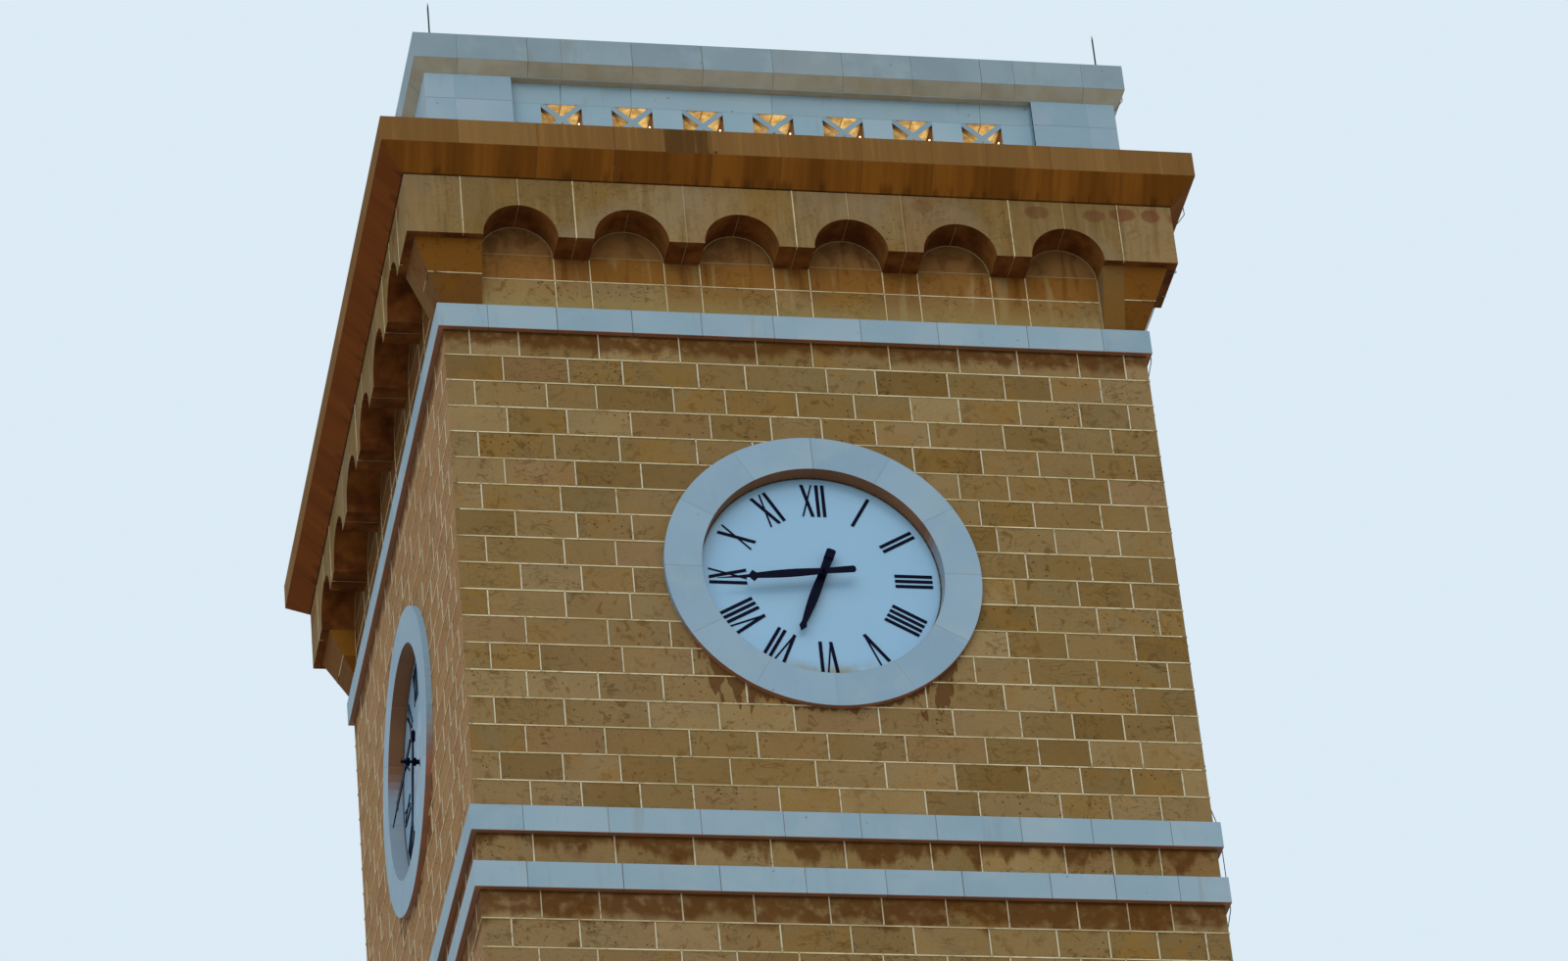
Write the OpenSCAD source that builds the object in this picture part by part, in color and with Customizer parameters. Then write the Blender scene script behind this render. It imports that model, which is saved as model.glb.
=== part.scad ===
// Square stone clock tower with a dial on each face, an arched frieze and a pierced parapet.
// Z is up, the ground is at z = 0, the axis of the tower is x = y = 0 and the front faces -Y.

/* [Shaft] */
// Width of the square shaft, face to face
shaft_w = 6000; // [5600:50:6400]
// Thickness of the shaft walls
wall_t = 600; // [450:10:750]
// Height from the ground to the foot of the first band
ground_h = 6500; // [5000:50:8000]
// Height from the foot of one band to the foot of the next
storey_h = 5200; // [4000:50:6000]
// Height of each white stone band
band_h = 235; // [150:5:320]
// Projection of each band from the wall
band_out = 50; // [20:5:90]
// Height of the single course between the two bands under the clock
band_course_h = 285; // [200:5:400]
// Height of the clock storey, from band to band
clock_h = 4680; // [4000:20:5600]

/* [Foot] */
// Height of the plinth
plinth_h = 1300; // [600:20:1800]
// Projection of the plinth from the wall
plinth_out = 90; // [50:5:150]
// Slope cut off the top edge of the plinth
plinth_slope = 50; // [20:5:80]
// Thickness of the ground floor
floor_t = 150; // [100:10:220]

/* [Doorway] */
// Clear width of the doorway
door_w = 1300; // [1000:20:1600]
// Height from the ground to the spring of the door arch
door_spring_h = 2050; // [1800:10:2600]
// Face width of the stones round the doorway
door_stone_w = 220; // [150:10:300]
// Projection of the door stones beyond the plinth
door_out = 40; // [20:5:80]
// Width of the wall on each side of the door stones that is built with them
door_pier_w = 180; // [120:10:300]

/* [Dials] */
// Radius of the outer edge of the white stone ring
ring_r = 1320; // [1220:10:1440]
// Radius of the inner edge of the ring
ring_in_r = 1010; // [940:5:1060]
// Projection of the ring from the wall
ring_out = 55; // [30:5:90]
// Depth of the ring from its face to its back
ring_depth = 380; // [320:10:420]
// Depth of the dial face behind the face of the ring
dial_sunk = 135; // [120:5:180]
// Thickness of the dial
dial_t = 40; // [25:5:60]
// Width of the ledge in the ring that the dial seats on
dial_ledge = 45; // [25:5:60]
// Radius of the inner ends of the numerals
numeral_in_r = 620; // [580:5:680]
// Radius of the outer ends of the numerals
numeral_out_r = 935; // [880:5:940]
// Width of the thick strokes of the numerals
stroke_w = 28; // [22:1:36]
// Width of the thin strokes of the numerals
hair_w = 14; // [8:1:18]
// Width of the letters V and X
wide_letter_w = 104; // [88:2:124]
// Gap between the letters of a numeral
letter_gap = 22; // [14:1:28]
// Thickness of the numerals on the dial
numeral_t = 6; // [3:1:10]

/* [Hands] */
// Hour shown on the dials
hour_shown = 6; // [0:1:11]
// Minutes shown on the dials
minute_shown = 43.9; // [0:0.1:59.9]
// Length of the minute hand from its axis
minute_l = 900; // [820:10:930]
// Length of the hour hand from its axis
hour_l = 600; // [540:10:680]
// Length of the tail of each hand from its axis
tail_l = 275; // [220:5:320]
// Cut across the corners of the tails
tail_cut = 16; // [8:1:22]
// Width of the minute hand at its hub
minute_hub_w = 50; // [40:2:60]
// Width of the tail of the minute hand at its end
minute_tail_w = 62; // [52:2:72]
// Width of the minute hand before its diamond
minute_neck_w = 50; // [40:2:60]
// Distance from the axis to the middle of the diamond on the minute hand
diamond_at = 594; // [540:2:640]
// Length of the diamond
diamond_l = 66; // [50:2:90]
// Width of the diamond
diamond_w = 108; // [90:2:124]
// Width of the needle beyond the diamond
needle_w = 27; // [18:1:36]
// Width of the hour hand at its hub
hour_hub_w = 68; // [56:2:76]
// Width of the tail of the hour hand at its end
hour_tail_w = 80; // [70:2:92]
// Width of the hour hand before its head
hour_neck_w = 44; // [34:2:50]
// Width of the head of the hour hand
head_w = 62; // [54:2:76]
// Length of the head of the hour hand, from its widest place to its tip
head_l = 52; // [36:2:66]
// Distance from the widest place of the head back to the neck
head_back = 40; // [24:2:56]
// How much the blades of both hands swell between hub and neck
blade_swell = 24; // [10:1:34]
// Length of the counterweight on the tail of the hour hand
weight_l = 85; // [60:5:110]
// Thickness of the counterweight
weight_t = 33; // [20:1:40]
// Thickness of each hand
hand_t = 10; // [6:1:14]
// Height of the back of the hour hand above the dial
hand_up = 59; // [52:1:66]
// Air between the hour hand and the minute hand
hand_gap = 46; // [42:1:56]
// Radius of the boss behind each hand
boss_r = 36; // [30:1:44]
// Height of the boss behind each hand
boss_h = 24; // [16:1:28]
// Radius of the arbor that carries the minute hand
arbor_r = 12; // [10:1:16]
// Wall of the tube that carries the hour hand
tube_wall = 9; // [6:1:12]
// Length of the arbors behind the back of the dial
arbor_back = 80; // [60:5:120]
// Length of the tubes behind the back of the dial
tube_back = 40; // [20:5:50]
// Projection of the arbor in front of the minute hand
arbor_front = 42; // [36:1:60]
// Radius of the nut that holds the minute hand, over its corners
nut_r = 22; // [18:1:28]
// Height of the nut
nut_h = 12; // [8:1:16]
// Length of the pin through the end of the arbor
pin_l = 66; // [40:2:80]
// Radius of the pin
pin_r = 3.5; // [2:0.5:5]
// Distance from the end of the arbor to the pin
pin_in = 9; // [6:1:12]
// Width of the collar round the tube on the dial
collar_w = 15; // [8:1:22]
// Height of the collar
collar_h = 8; // [4:1:12]

/* [Frieze] */
// Height of the wall between the top band and the frieze
niche_h = 540; // [400:10:700]
// Height of the frieze
frieze_h = 595; // [500:5:700]
// Projection of the frieze from the wall
frieze_out = 310; // [250:5:360]
// Arches on each side
arch_count = 6; // [4:1:7]
// Width of the stone between two arches
pendant_w = 305; // [240:5:360]
// Width of the corner blocks of the frieze
corner_w = 642; // [560:5:720]
// Distance that the foot of each corner bracket stands out from the wall
bracket_foot = 10; // [5:1:40]
// Distance that the top of each corner bracket stays inside the frieze
bracket_in = 75; // [40:5:120]

/* [Cornice and parapet] */
// Height and depth of the slope under the cornice
splay = 200; // [120:5:240]
// Height of the upright face of the cornice
fascia_h = 250; // [180:5:320]
// Thickness of the roof deck
deck_t = 250; // [180:10:300]
// Width of the wall top that the deck seats on
deck_seat = 150; // [100:10:190]
// Distance of the pier faces outside the shaft face
pier_out = 29; // [0:1:60]
// Width of the corner piers
pier_w = 746; // [640:2:820]
// Height of the piers and panels
parapet_h = 880; // [800:5:1100]
// Distance of the panels behind the pier faces
panel_in = 105; // [60:5:120]
// Thickness of the panels
panel_t = 340; // [300:5:380]
// Openings in each panel
hole_count = 7; // [5:1:7]
// Width of each opening
hole_w = 355; // [300:5:400]
// Height of each opening
hole_h = 320; // [260:5:360]
// Height from the cornice to the foot of the openings
hole_up = 360; // [300:5:420]
// Solid stone between the piers and the first opening, beyond half a bay
panel_end = 130; // [80:5:180]
// Width of the crossed bars in the openings
bar_w = 48; // [30:2:60]
// Thickness of the crossed bars, which are flush with the face of the panel
bar_t = 60; // [40:5:90]
// Height of the coping above its slope
coping_h = 264; // [180:1:320]
// Height of the slope under the coping
coping_slope_h = 100; // [40:5:120]
// Projection of the coping from the piers
coping_out = 93; // [40:1:110]
// Width of the coping
coping_w = 560; // [490:5:600]
// Height of the lightning rods above the coping
rod_h = 470; // [200:10:700]
// Radius of the lightning rods
rod_r = 7; // [5:1:16]
// Length of the point of each rod
rod_point_l = 50; // [20:2:120]
// Radius of the foot of each rod
rod_foot_r = 33; // [20:1:45]
// Thickness of the foot of each rod
rod_foot_t = 11; // [6:1:16]
// Distance of the rods from the outer edges of the coping
rod_in = 175; // [60:5:200]

/* [Conductor] */
// Radius of the bar that leads from the right front rod to the ground
conductor_r = 4; // [3:0.5:8]
// Gap between the conductor and the stone
conductor_gap = 9; // [7:0.5:12]
// Distance of the conductor from the front corner of the shaft
conductor_in = 50; // [40:5:90]
// Distance of the conductor from the front face of the corner pier
pier_line_in = 60; // [40:5:120]
// Width of the clips that hold the conductor
clip_w = 36; // [30:2:50]
// Height of the clips
clip_h = 20; // [14:1:30]
// Thickness of the clips outside the conductor
clip_t = 2; // [1:0.5:4]
// Clips in each storey
clip_count = 4; // [2:1:6]

/* [Fits] */
// Gap between curved stone faces that meet
stone_fit = 0.3; // [0.1:0.1:1]
// Gap round the turning arbors
turn_fit = 0.3; // [0.1:0.1:0.6]

/* [Hidden] */

$fn = 96;
eps = 1;

// Half widths of the square plans
shaft_half = shaft_w / 2;
room_half = shaft_half - wall_t;
band_half = shaft_half + band_out;
plinth_half = shaft_half + plinth_out;
frieze_half = shaft_half + frieze_out;
cornice_half = frieze_half + splay;
deck_half = room_half + deck_seat;
pier_half = shaft_half + pier_out;
panel_half = pier_half - panel_in;
coping_half = pier_half + coping_out;

// Heights of the storeys from the ground up
function band_z(n) = ground_h + (n - 1) * storey_h;
course_z = band_z(5) + band_h;
upper_band_z = course_z + band_course_h;
clock_z = upper_band_z + band_h;
top_band_z = clock_z + clock_h;
niche_z = top_band_z + band_h;
frieze_z = niche_z + niche_h;
cornice_z = frieze_z + frieze_h;
parapet_z = cornice_z + splay + fascia_h;
coping_z = parapet_z + parapet_h;
coping_edge_z = coping_z + coping_slope_h;
roof_z = coping_edge_z + coping_h;

// Doorway
door_r = door_w / 2;
door_stone_r = door_r + door_stone_w;
door_wall_half = door_stone_r + door_pier_w;

// Dial and hands, as distances from the axis of the tower
dial_z = clock_z + clock_h / 2;
ring_face = shaft_half + ring_out;
ring_back = ring_face - ring_depth;
dial_face = ring_face - dial_sunk;
dial_back_face = dial_face - dial_t;
dial_seat_r = ring_in_r + dial_ledge;
hour_back = dial_face + hand_up;
hour_face = hour_back + hand_t;
minute_back = hour_face + hand_gap;
minute_face = minute_back + hand_t;
arbor_end = dial_back_face - arbor_back;
arbor_tip = minute_face + arbor_front;
tube_end = dial_back_face - tube_back;
tube_r = arbor_r + turn_fit + tube_wall;
bush_r = tube_r + turn_fit;
blade_steps = 8;
minute_angle = minute_shown * 6;
hour_angle = hour_shown * 30 + minute_shown / 2;

// Numerals, drawn upright from the centre of the dial; word_w is the width of a word's first n letters
HOUR_NAMES = ["XII", "I", "II", "III", "IIII", "V", "VI", "VII", "VIII", "IX", "X", "XI"];
letter_h = numeral_out_r - numeral_in_r;
function letter_w(c) = c == "I" ? stroke_w : wide_letter_w;
function word_w(word, n) = n == 0 ? 0 : word_w(word, n - 1) + letter_w(word[n - 1]) + letter_gap;

// Frieze and its corner brackets
bracket_foot_half = shaft_half + bracket_foot;
bracket_top_half = frieze_half - bracket_in;
arch_field = 2 * (frieze_half - corner_w);
arch_pitch = (arch_field + pendant_w) / arch_count;
arch_r = (arch_pitch - pendant_w) / 2;
function arch_x(i) = (i - (arch_count - 1) / 2) * arch_pitch;

// Parapet
panel_l = 2 * (pier_half - pier_w);
hole_pitch = (panel_l - 2 * panel_end) / hole_count;
function hole_x(i) = (i - (hole_count - 1) / 2) * hole_pitch;
bar_l = sqrt(hole_w * hole_w + hole_h * hole_h);
bar_a = atan2(hole_h, hole_w);

rod_tip_r = 2;

// Lightning conductor, on the right face. Its middle runs at a fixed distance out from each face that it
// follows. A part of the route is a list of points from the top down.
rod_at = coping_half - rod_in;
line_out = conductor_r + conductor_gap;
line_y = -(shaft_half - conductor_in);
pier_line_y = -(pier_half - pier_line_in);
frieze_clip_y = pier_line_y - 80;
frieze_clip_z = frieze_z + 200;
conductor_sides = 8;
edge_ease = 3;
wall_reach = 200;
ledge_reach = 5;
function bracket_half(z) =
    bracket_foot_half + (bracket_top_half - bracket_foot_half) * (z - niche_z) / niche_h;
function beside_bracket(z) = [bracket_half(z) + line_out, conductor_in - bracket_half(z), z];
function down_over_band(foot, head) = [
    [shaft_half + line_out, line_y, head + wall_reach],
    [band_half + line_out, line_y, head + ledge_reach],
    [band_half + line_out, line_y, foot - ledge_reach],
    [shaft_half + line_out, line_y, foot - wall_reach]
];
down_the_parapet = [
    [rod_at + rod_r + 1, -rod_at, roof_z + rod_foot_t + line_out],
    [coping_half + edge_ease, pier_line_y, roof_z + line_out],
    [coping_half + line_out, pier_line_y, roof_z + edge_ease],
    [coping_half + line_out, pier_line_y, coping_edge_z],
    [pier_half + line_out, pier_line_y, coping_z - 30],
    [pier_half + line_out, pier_line_y - 10, parapet_z + 50],
    [pier_half + line_out + 35, pier_line_y - 18, parapet_z + line_out]
];
down_the_cornice = [
    [cornice_half + edge_ease, pier_line_y - 30, parapet_z + line_out],
    [cornice_half + line_out, pier_line_y - 30, parapet_z + edge_ease],
    [cornice_half + 31, pier_line_y, parapet_z - 205],
    [cornice_half + 39, pier_line_y + 20, parapet_z - 235],
    [cornice_half + 13, pier_line_y + 70, cornice_z + 193],
    [cornice_half - 51, pier_line_y + 70, cornice_z + 113],
    [frieze_half + 52, pier_line_y + 80, cornice_z - 25],
    [frieze_half + line_out, pier_line_y + 100, cornice_z - 125]
];
down_the_frieze = [
    [frieze_half + line_out, frieze_clip_y, frieze_clip_z],
    [frieze_half + line_out, conductor_in - bracket_top_half, frieze_z - edge_ease],
    [frieze_half + edge_ease, conductor_in - bracket_top_half, frieze_z - line_out],
    beside_bracket(frieze_z - line_out),
    beside_bracket(niche_z + 60),
    [band_half + edge_ease, line_y, niche_z + line_out],
    [band_half + line_out, line_y, niche_z + edge_ease],
    [band_half + line_out, line_y, top_band_z - ledge_reach],
    [shaft_half + line_out, line_y, top_band_z - wall_reach]
];
down_the_plinth = [
    [shaft_half + line_out, line_y, plinth_h + wall_reach],
    [plinth_half - plinth_slope + line_out, line_y, plinth_h + ledge_reach],
    [plinth_half + line_out, line_y, plinth_h - plinth_slope + ledge_reach],
    [plinth_half + line_out, line_y, 0]
];
conductor_route = concat(
    down_the_parapet, down_the_cornice, down_the_frieze, down_over_band(band_z(5), clock_z),
    [for (n = [4:-1:1]) each down_over_band(band_z(n), band_z(n) + band_h)], down_the_plinth
);

// Directions along a route, and the rings of points round it
function unit(v) = v / norm(v);
function step_from(route, i) = unit(route[i + 1] - route[i]);
function heading(route, i) = unit(step_from(route, max(i - 1, 0)) + step_from(route, min(i, len(route) - 2)));
function ring_round(place, ahead, r, sides) =
    let (across = unit(cross(ahead, [0, 1, 0])), up = cross(across, ahead))
    [for (j = [0:sides - 1]) place + r * (cos(360 * j / sides) * across + sin(360 * j / sides) * up)];

SANDSTONE = [0.62, 0.50, 0.33];
LIMESTONE = [0.86, 0.85, 0.80];
SOFFIT = [0.52, 0.38, 0.25];
OPAL = [0.93, 0.94, 0.95];
INK = [0.06, 0.06, 0.09];
METAL = [0.45, 0.42, 0.36];
DECK = [0.50, 0.49, 0.46];

// A square ring of masonry, standing on height z
module square_ring(z, h, outer, inner) {
    translate([0, 0, z])
        linear_extrude(h)
            difference() {
                square(2 * outer, center = true);
                square(2 * inner, center = true);
            }
}

// Puts children on one face: x runs right, y up from the dial centre and z outwards.
// The faces are 0 front, 1 right, 2 back and 3 left.
module on_face(side) {
    rotate([0, 0, 90 * side])
        translate([0, 0, dial_z])
            rotate([90, 0, 0])
                children();
}

// Turns children, drawn at twelve o'clock, clockwise by an angle
module at_angle(a) {
    rotate([0, 0, -a]) children();
}

// Outline of the doorway at a half width, with its arch grown by a margin; y is the height
module door_outline(r, margin) {
    translate([-r, 0]) square([2 * r, door_spring_h + margin]);
    translate([0, door_spring_h]) circle(r + margin);
}

// Extrudes an outline, drawn with x and z, through the front from one distance to another
module through_front(near, far) {
    translate([0, -near, 0])
        rotate([90, 0, 0])
            linear_extrude(far - near)
                children();
}

// A square block whose sides slope evenly from one half width to another
module sloped_square(z, h, foot_half, top_half) {
    widest = max(foot_half, top_half);
    translate([0, 0, z])
        intersection_for(turn = [0, 90])
            rotate([0, 0, turn])
                translate([0, widest, 0])
                    rotate([90, 0, 0])
                        linear_extrude(2 * widest)
                            polygon([
                                [-foot_half, 0], [foot_half, 0], [top_half, h], [-top_half, h]
                            ]);
}

module floor_slab() {
    color(DECK)
        union() {
            translate([-room_half, -room_half, 0])
                cube([2 * room_half, 2 * room_half, floor_t]);
            translate([-door_r, -plinth_half - door_out, 0])
                cube([door_w, plinth_half + door_out, floor_t]);
        }
}

module plinth() {
    color(LIMESTONE)
        difference() {
            union() {
                square_ring(0, plinth_h - plinth_slope, plinth_half, shaft_half);
                difference() {
                    sloped_square(plinth_h - plinth_slope, plinth_slope, plinth_half,
                        plinth_half - plinth_slope);
                    translate([-shaft_half, -shaft_half, 0])
                        cube([shaft_w, shaft_w, plinth_h + eps]);
                }
            }
            translate([-door_stone_r, -plinth_half - eps, -eps])
                cube([2 * door_stone_r, plinth_out + 2 * eps, plinth_h + 2 * eps]);
        }
}

// The ground storey, with a gap in front for the wall that holds the doorway
module ground_walls() {
    color(SANDSTONE)
        difference() {
            square_ring(0, ground_h, shaft_half, room_half);
            translate([-door_wall_half, -shaft_half - eps, -eps])
                cube([2 * door_wall_half, wall_t + 2 * eps, ground_h + 2 * eps]);
        }
}

module door_wall() {
    color(SANDSTONE)
        difference() {
            translate([-door_wall_half, -shaft_half, 0])
                cube([2 * door_wall_half, wall_t, ground_h]);
            through_front(room_half - eps, shaft_half + eps)
                door_outline(door_stone_r, stone_fit);
        }
}

module door_surround() {
    color(LIMESTONE)
        through_front(room_half, plinth_half + door_out)
            difference() {
                door_outline(door_stone_r, 0);
                translate([0, -eps]) door_outline(door_r, eps);
            }
}

module band(z) {
    color(LIMESTONE) square_ring(z, band_h, band_half, room_half);
}

module storey_walls(z, h) {
    color(SANDSTONE) square_ring(z, h, shaft_half, room_half);
}

// One wall of the clock storey. The front and back run the full width of the shaft.
module clock_wall(side) {
    half = side % 2 == 0 ? shaft_half : room_half;
    color(SANDSTONE)
        on_face(side)
            difference() {
                translate([-half, -clock_h / 2, room_half])
                    cube([2 * half, clock_h, wall_t]);
                translate([0, 0, ring_back])
                    cylinder(r = ring_r + stone_fit, h = ring_depth);
                translate([0, 0, room_half - eps])
                    cylinder(r = dial_seat_r, h = wall_t);
            }
}

// The white ring, with a ledge inside it that the dial seats against
module dial_ring(side) {
    color(LIMESTONE)
        on_face(side)
            difference() {
                translate([0, 0, ring_back]) cylinder(r = ring_r, h = ring_depth);
                translate([0, 0, ring_back - eps]) cylinder(r = ring_in_r, h = ring_depth + 2 * eps);
                translate([0, 0, ring_back - eps])
                    cylinder(r = dial_seat_r, h = dial_face - ring_back + eps);
            }
}

// The dial, with a collar round the hole for the tube of the hour hand
module dial(side) {
    color(OPAL)
        on_face(side)
            difference() {
                union() {
                    translate([0, 0, dial_back_face]) cylinder(r = dial_seat_r - stone_fit, h = dial_t);
                    translate([0, 0, dial_face]) cylinder(r = bush_r + collar_w, h = collar_h);
                }
                translate([0, 0, dial_back_face - eps])
                    cylinder(r = bush_r, h = dial_t + collar_h + 2 * eps);
            }
}

// A slanted stroke of a numeral, with level ends, from its foot to its head
module slant(foot, head, w) {
    polygon([
        [foot - w / 2, 0], [foot + w / 2, 0], [head + w / 2, letter_h], [head - w / 2, letter_h]
    ]);
}

module letter(c) {
    w = letter_w(c);
    if (c == "I") square([stroke_w, letter_h]);
    if (c == "V") {
        slant(w / 2, stroke_w / 2, stroke_w);
        slant(w / 2, w - hair_w / 2, hair_w);
    }
    if (c == "X") {
        slant(w - stroke_w / 2, stroke_w / 2, stroke_w);
        slant(hair_w / 2, w - hair_w / 2, hair_w);
    }
}

// One numeral, centred on x
module numeral(word) {
    full = word_w(word, len(word)) - letter_gap;
    translate([-full / 2, 0])
        for (n = [0:len(word) - 1])
            translate([word_w(word, n), 0]) letter(word[n]);
}

module numerals() {
    color(INK)
        for (side = [0:3])
            on_face(side)
                translate([0, 0, dial_face])
                    linear_extrude(numeral_t)
                        for (hour = [0:11])
                            at_angle(30 * hour)
                                translate([0, numeral_in_r]) numeral(HOUR_NAMES[hour]);
}

// A hand at twelve o'clock has an outline that is the same on both sides. These functions give
// the points of its right side, from the end of the tail to the neck.
function tail_side(hub_w, end_w) = [
    [end_w / 2 - tail_cut, -tail_l], [end_w / 2, -tail_l + tail_cut], [hub_w / 2, 0]
];
function blade_side(hub_w, neck_w, neck_r) = [
    for (n = [1:blade_steps])
        let (t = n / blade_steps)
        [(hub_w + (neck_w - hub_w) * t + blade_swell * sin(180 * t)) / 2, neck_r * t]
];

// A flat hand with a given right side and a tip on the centre line
module hand_plate(right_side, length) {
    last = len(right_side) - 1;
    linear_extrude(hand_t)
        polygon(concat(
            right_side,
            [[0, length]],
            [for (n = [last:-1:0]) [-right_side[n].x, right_side[n].y]]
        ));
}

module hour_hand_plate() {
    head_r = hour_l - head_l;
    hand_plate(
        concat(
            tail_side(hour_hub_w, hour_tail_w),
            blade_side(hour_hub_w, hour_neck_w, head_r - head_back),
            [[head_w / 2, head_r]]
        ),
        hour_l
    );
}

module minute_hand_plate() {
    hand_plate(
        concat(
            tail_side(minute_hub_w, minute_tail_w),
            blade_side(minute_hub_w, minute_neck_w, diamond_at - diamond_l / 2),
            [[diamond_w / 2, diamond_at], [needle_w / 2, diamond_at + diamond_l / 2]]
        ),
        minute_l
    );
}

// The hour hand on its tube, with a counterweight on its tail
module hour_hand(side) {
    color(INK)
        on_face(side)
            at_angle(hour_angle)
                difference() {
                    union() {
                        translate([0, 0, hour_back]) hour_hand_plate();
                        translate([0, 0, hour_back - boss_h]) cylinder(r = boss_r, h = boss_h + hand_t);
                        translate([-hour_tail_w / 2, -tail_l + tail_cut, hour_back + (hand_t - weight_t) / 2])
                            cube([hour_tail_w, weight_l, weight_t]);
                        translate([0, 0, tube_end]) cylinder(r = tube_r, h = hour_back - tube_end);
                    }
                    translate([0, 0, tube_end - eps])
                        cylinder(r = arbor_r + turn_fit, h = hour_face - tube_end + 2 * eps);
                }
}

// The minute hand on its arbor, held by a nut and a cross pin
module minute_hand(side) {
    color(INK)
        on_face(side)
            at_angle(minute_angle) {
                translate([0, 0, minute_back]) minute_hand_plate();
                translate([0, 0, minute_back - boss_h]) cylinder(r = boss_r, h = boss_h + hand_t);
                translate([0, 0, arbor_end]) cylinder(r = arbor_r, h = arbor_tip - arbor_end);
                translate([0, 0, minute_face]) cylinder(r = nut_r, h = nut_h, $fn = 6);
                translate([-pin_l / 2, 0, arbor_tip - pin_in])
                    rotate([0, 90, 0])
                        cylinder(r = pin_r, h = pin_l);
            }
}

// Four tapered corbels that wrap round the corners under the frieze
module corner_brackets() {
    color(SANDSTONE)
        difference() {
            sloped_square(niche_z, niche_h, bracket_foot_half, bracket_top_half);
            translate([-shaft_half, -shaft_half, niche_z - eps])
                cube([shaft_w, shaft_w, niche_h + 2 * eps]);
            for (turn = [0, 90])
                rotate([0, 0, turn])
                    translate([-arch_field / 2, -frieze_half, niche_z - eps])
                        cube([arch_field, 2 * frieze_half, niche_h + 2 * eps]);
        }
}

// One side of the frieze. The front and back take in the corner blocks.
module frieze(side) {
    half = side % 2 == 0 ? frieze_half : shaft_half;
    color(SANDSTONE)
        rotate([0, 0, 90 * side])
            difference() {
                translate([-half, -frieze_half, frieze_z])
                    cube([2 * half, frieze_out, frieze_h]);
                for (i = [0:arch_count - 1])
                    translate([arch_x(i), -shaft_half + eps, frieze_z])
                        rotate([90, 0, 0])
                            cylinder(r = arch_r, h = frieze_out + 2 * eps);
            }
}

module cornice() {
    color(SOFFIT)
        difference() {
            union() {
                sloped_square(cornice_z, splay, frieze_half, cornice_half);
                translate([-cornice_half, -cornice_half, cornice_z + splay])
                    cube([2 * cornice_half, 2 * cornice_half, fascia_h]);
            }
            translate([-deck_half, -deck_half, cornice_z - eps])
                cube([2 * deck_half, 2 * deck_half, splay + fascia_h + 2 * eps]);
        }
}

module roof_deck() {
    color(DECK)
        translate([-deck_half, -deck_half, cornice_z])
            cube([2 * deck_half, 2 * deck_half, deck_t]);
}

module corner_piers() {
    inner = panel_half - panel_t;
    color(LIMESTONE)
        for (side = [0:3])
            rotate([0, 0, 90 * side])
                translate([0, 0, parapet_z])
                    linear_extrude(parapet_h)
                        polygon([
                            [-pier_half, -pier_half], [-pier_half + pier_w, -pier_half],
                            [-pier_half + pier_w, -inner], [-inner, -inner],
                            [-inner, -pier_half + pier_w], [-pier_half, -pier_half + pier_w]
                        ]);
}

// One pierced panel: a row of openings, each crossed by two bars
module parapet(side) {
    color(LIMESTONE)
        rotate([0, 0, 90 * side])
            translate([0, -panel_half + panel_t, parapet_z])
                rotate([90, 0, 0]) {
                    linear_extrude(panel_t)
                        difference() {
                            translate([-panel_l / 2, 0]) square([panel_l, parapet_h]);
                            for (i = [0:hole_count - 1])
                                translate([hole_x(i) - hole_w / 2, hole_up])
                                    square([hole_w, hole_h]);
                        }
                    translate([0, 0, panel_t - bar_t])
                        linear_extrude(bar_t)
                            for (i = [0:hole_count - 1])
                                translate([hole_x(i), hole_up + hole_h / 2])
                                    crossed_bars();
                }
}

module crossed_bars() {
    intersection() {
        square([hole_w + 2 * eps, hole_h + 2 * eps], center = true);
        union()
            for (a = [-bar_a, bar_a])
                rotate(a) square([bar_l + bar_w, bar_w], center = true);
    }
}

module coping() {
    color(LIMESTONE)
        difference() {
            union() {
                sloped_square(coping_z, coping_slope_h, pier_half, coping_half);
                translate([-coping_half, -coping_half, coping_edge_z])
                    cube([2 * coping_half, 2 * coping_half, coping_h]);
            }
            translate([0, 0, coping_z - eps])
                linear_extrude(coping_slope_h + coping_h + 2 * eps)
                    square(2 * (coping_half - coping_w), center = true);
        }
}

module lightning_rods() {
    color(METAL)
        for (side = [0:3])
            rotate([0, 0, 90 * side])
                translate([-coping_half + rod_in, -coping_half + rod_in, roof_z]) {
                    cylinder(r = rod_foot_r, h = rod_foot_t);
                    cylinder(r = rod_r, h = rod_h - rod_point_l);
                    translate([0, 0, rod_h - rod_point_l])
                        cylinder(r1 = rod_r, r2 = rod_tip_r, h = rod_point_l);
                }
}

// A round bar along a route, with one ring of points at each of its points
module bar_along(route, r, sides) {
    last = len(route) - 1;
    points = [for (i = [0:last]) each ring_round(route[i], heading(route, i), r, sides)];
    walls = [
        for (i = [0:last - 1], j = [0:sides - 1])
            let (a = i * sides + j, b = i * sides + (j + 1) % sides)
            each [[a, b, b + sides], [a, b + sides, a + sides]]
    ];
    start = [for (j = [sides - 1:-1:0]) j];
    end = [for (j = [0:sides - 1]) last * sides + j];
    polyhedron(points = points, faces = concat([start, end], walls));
}

// A clip on a face at a distance from the axis, round the conductor at a place on that face
module clip(face, y, z) {
    translate([face, y - clip_w / 2, z - clip_h / 2])
        cube([line_out + conductor_r + clip_t, clip_w, clip_h]);
}

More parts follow.
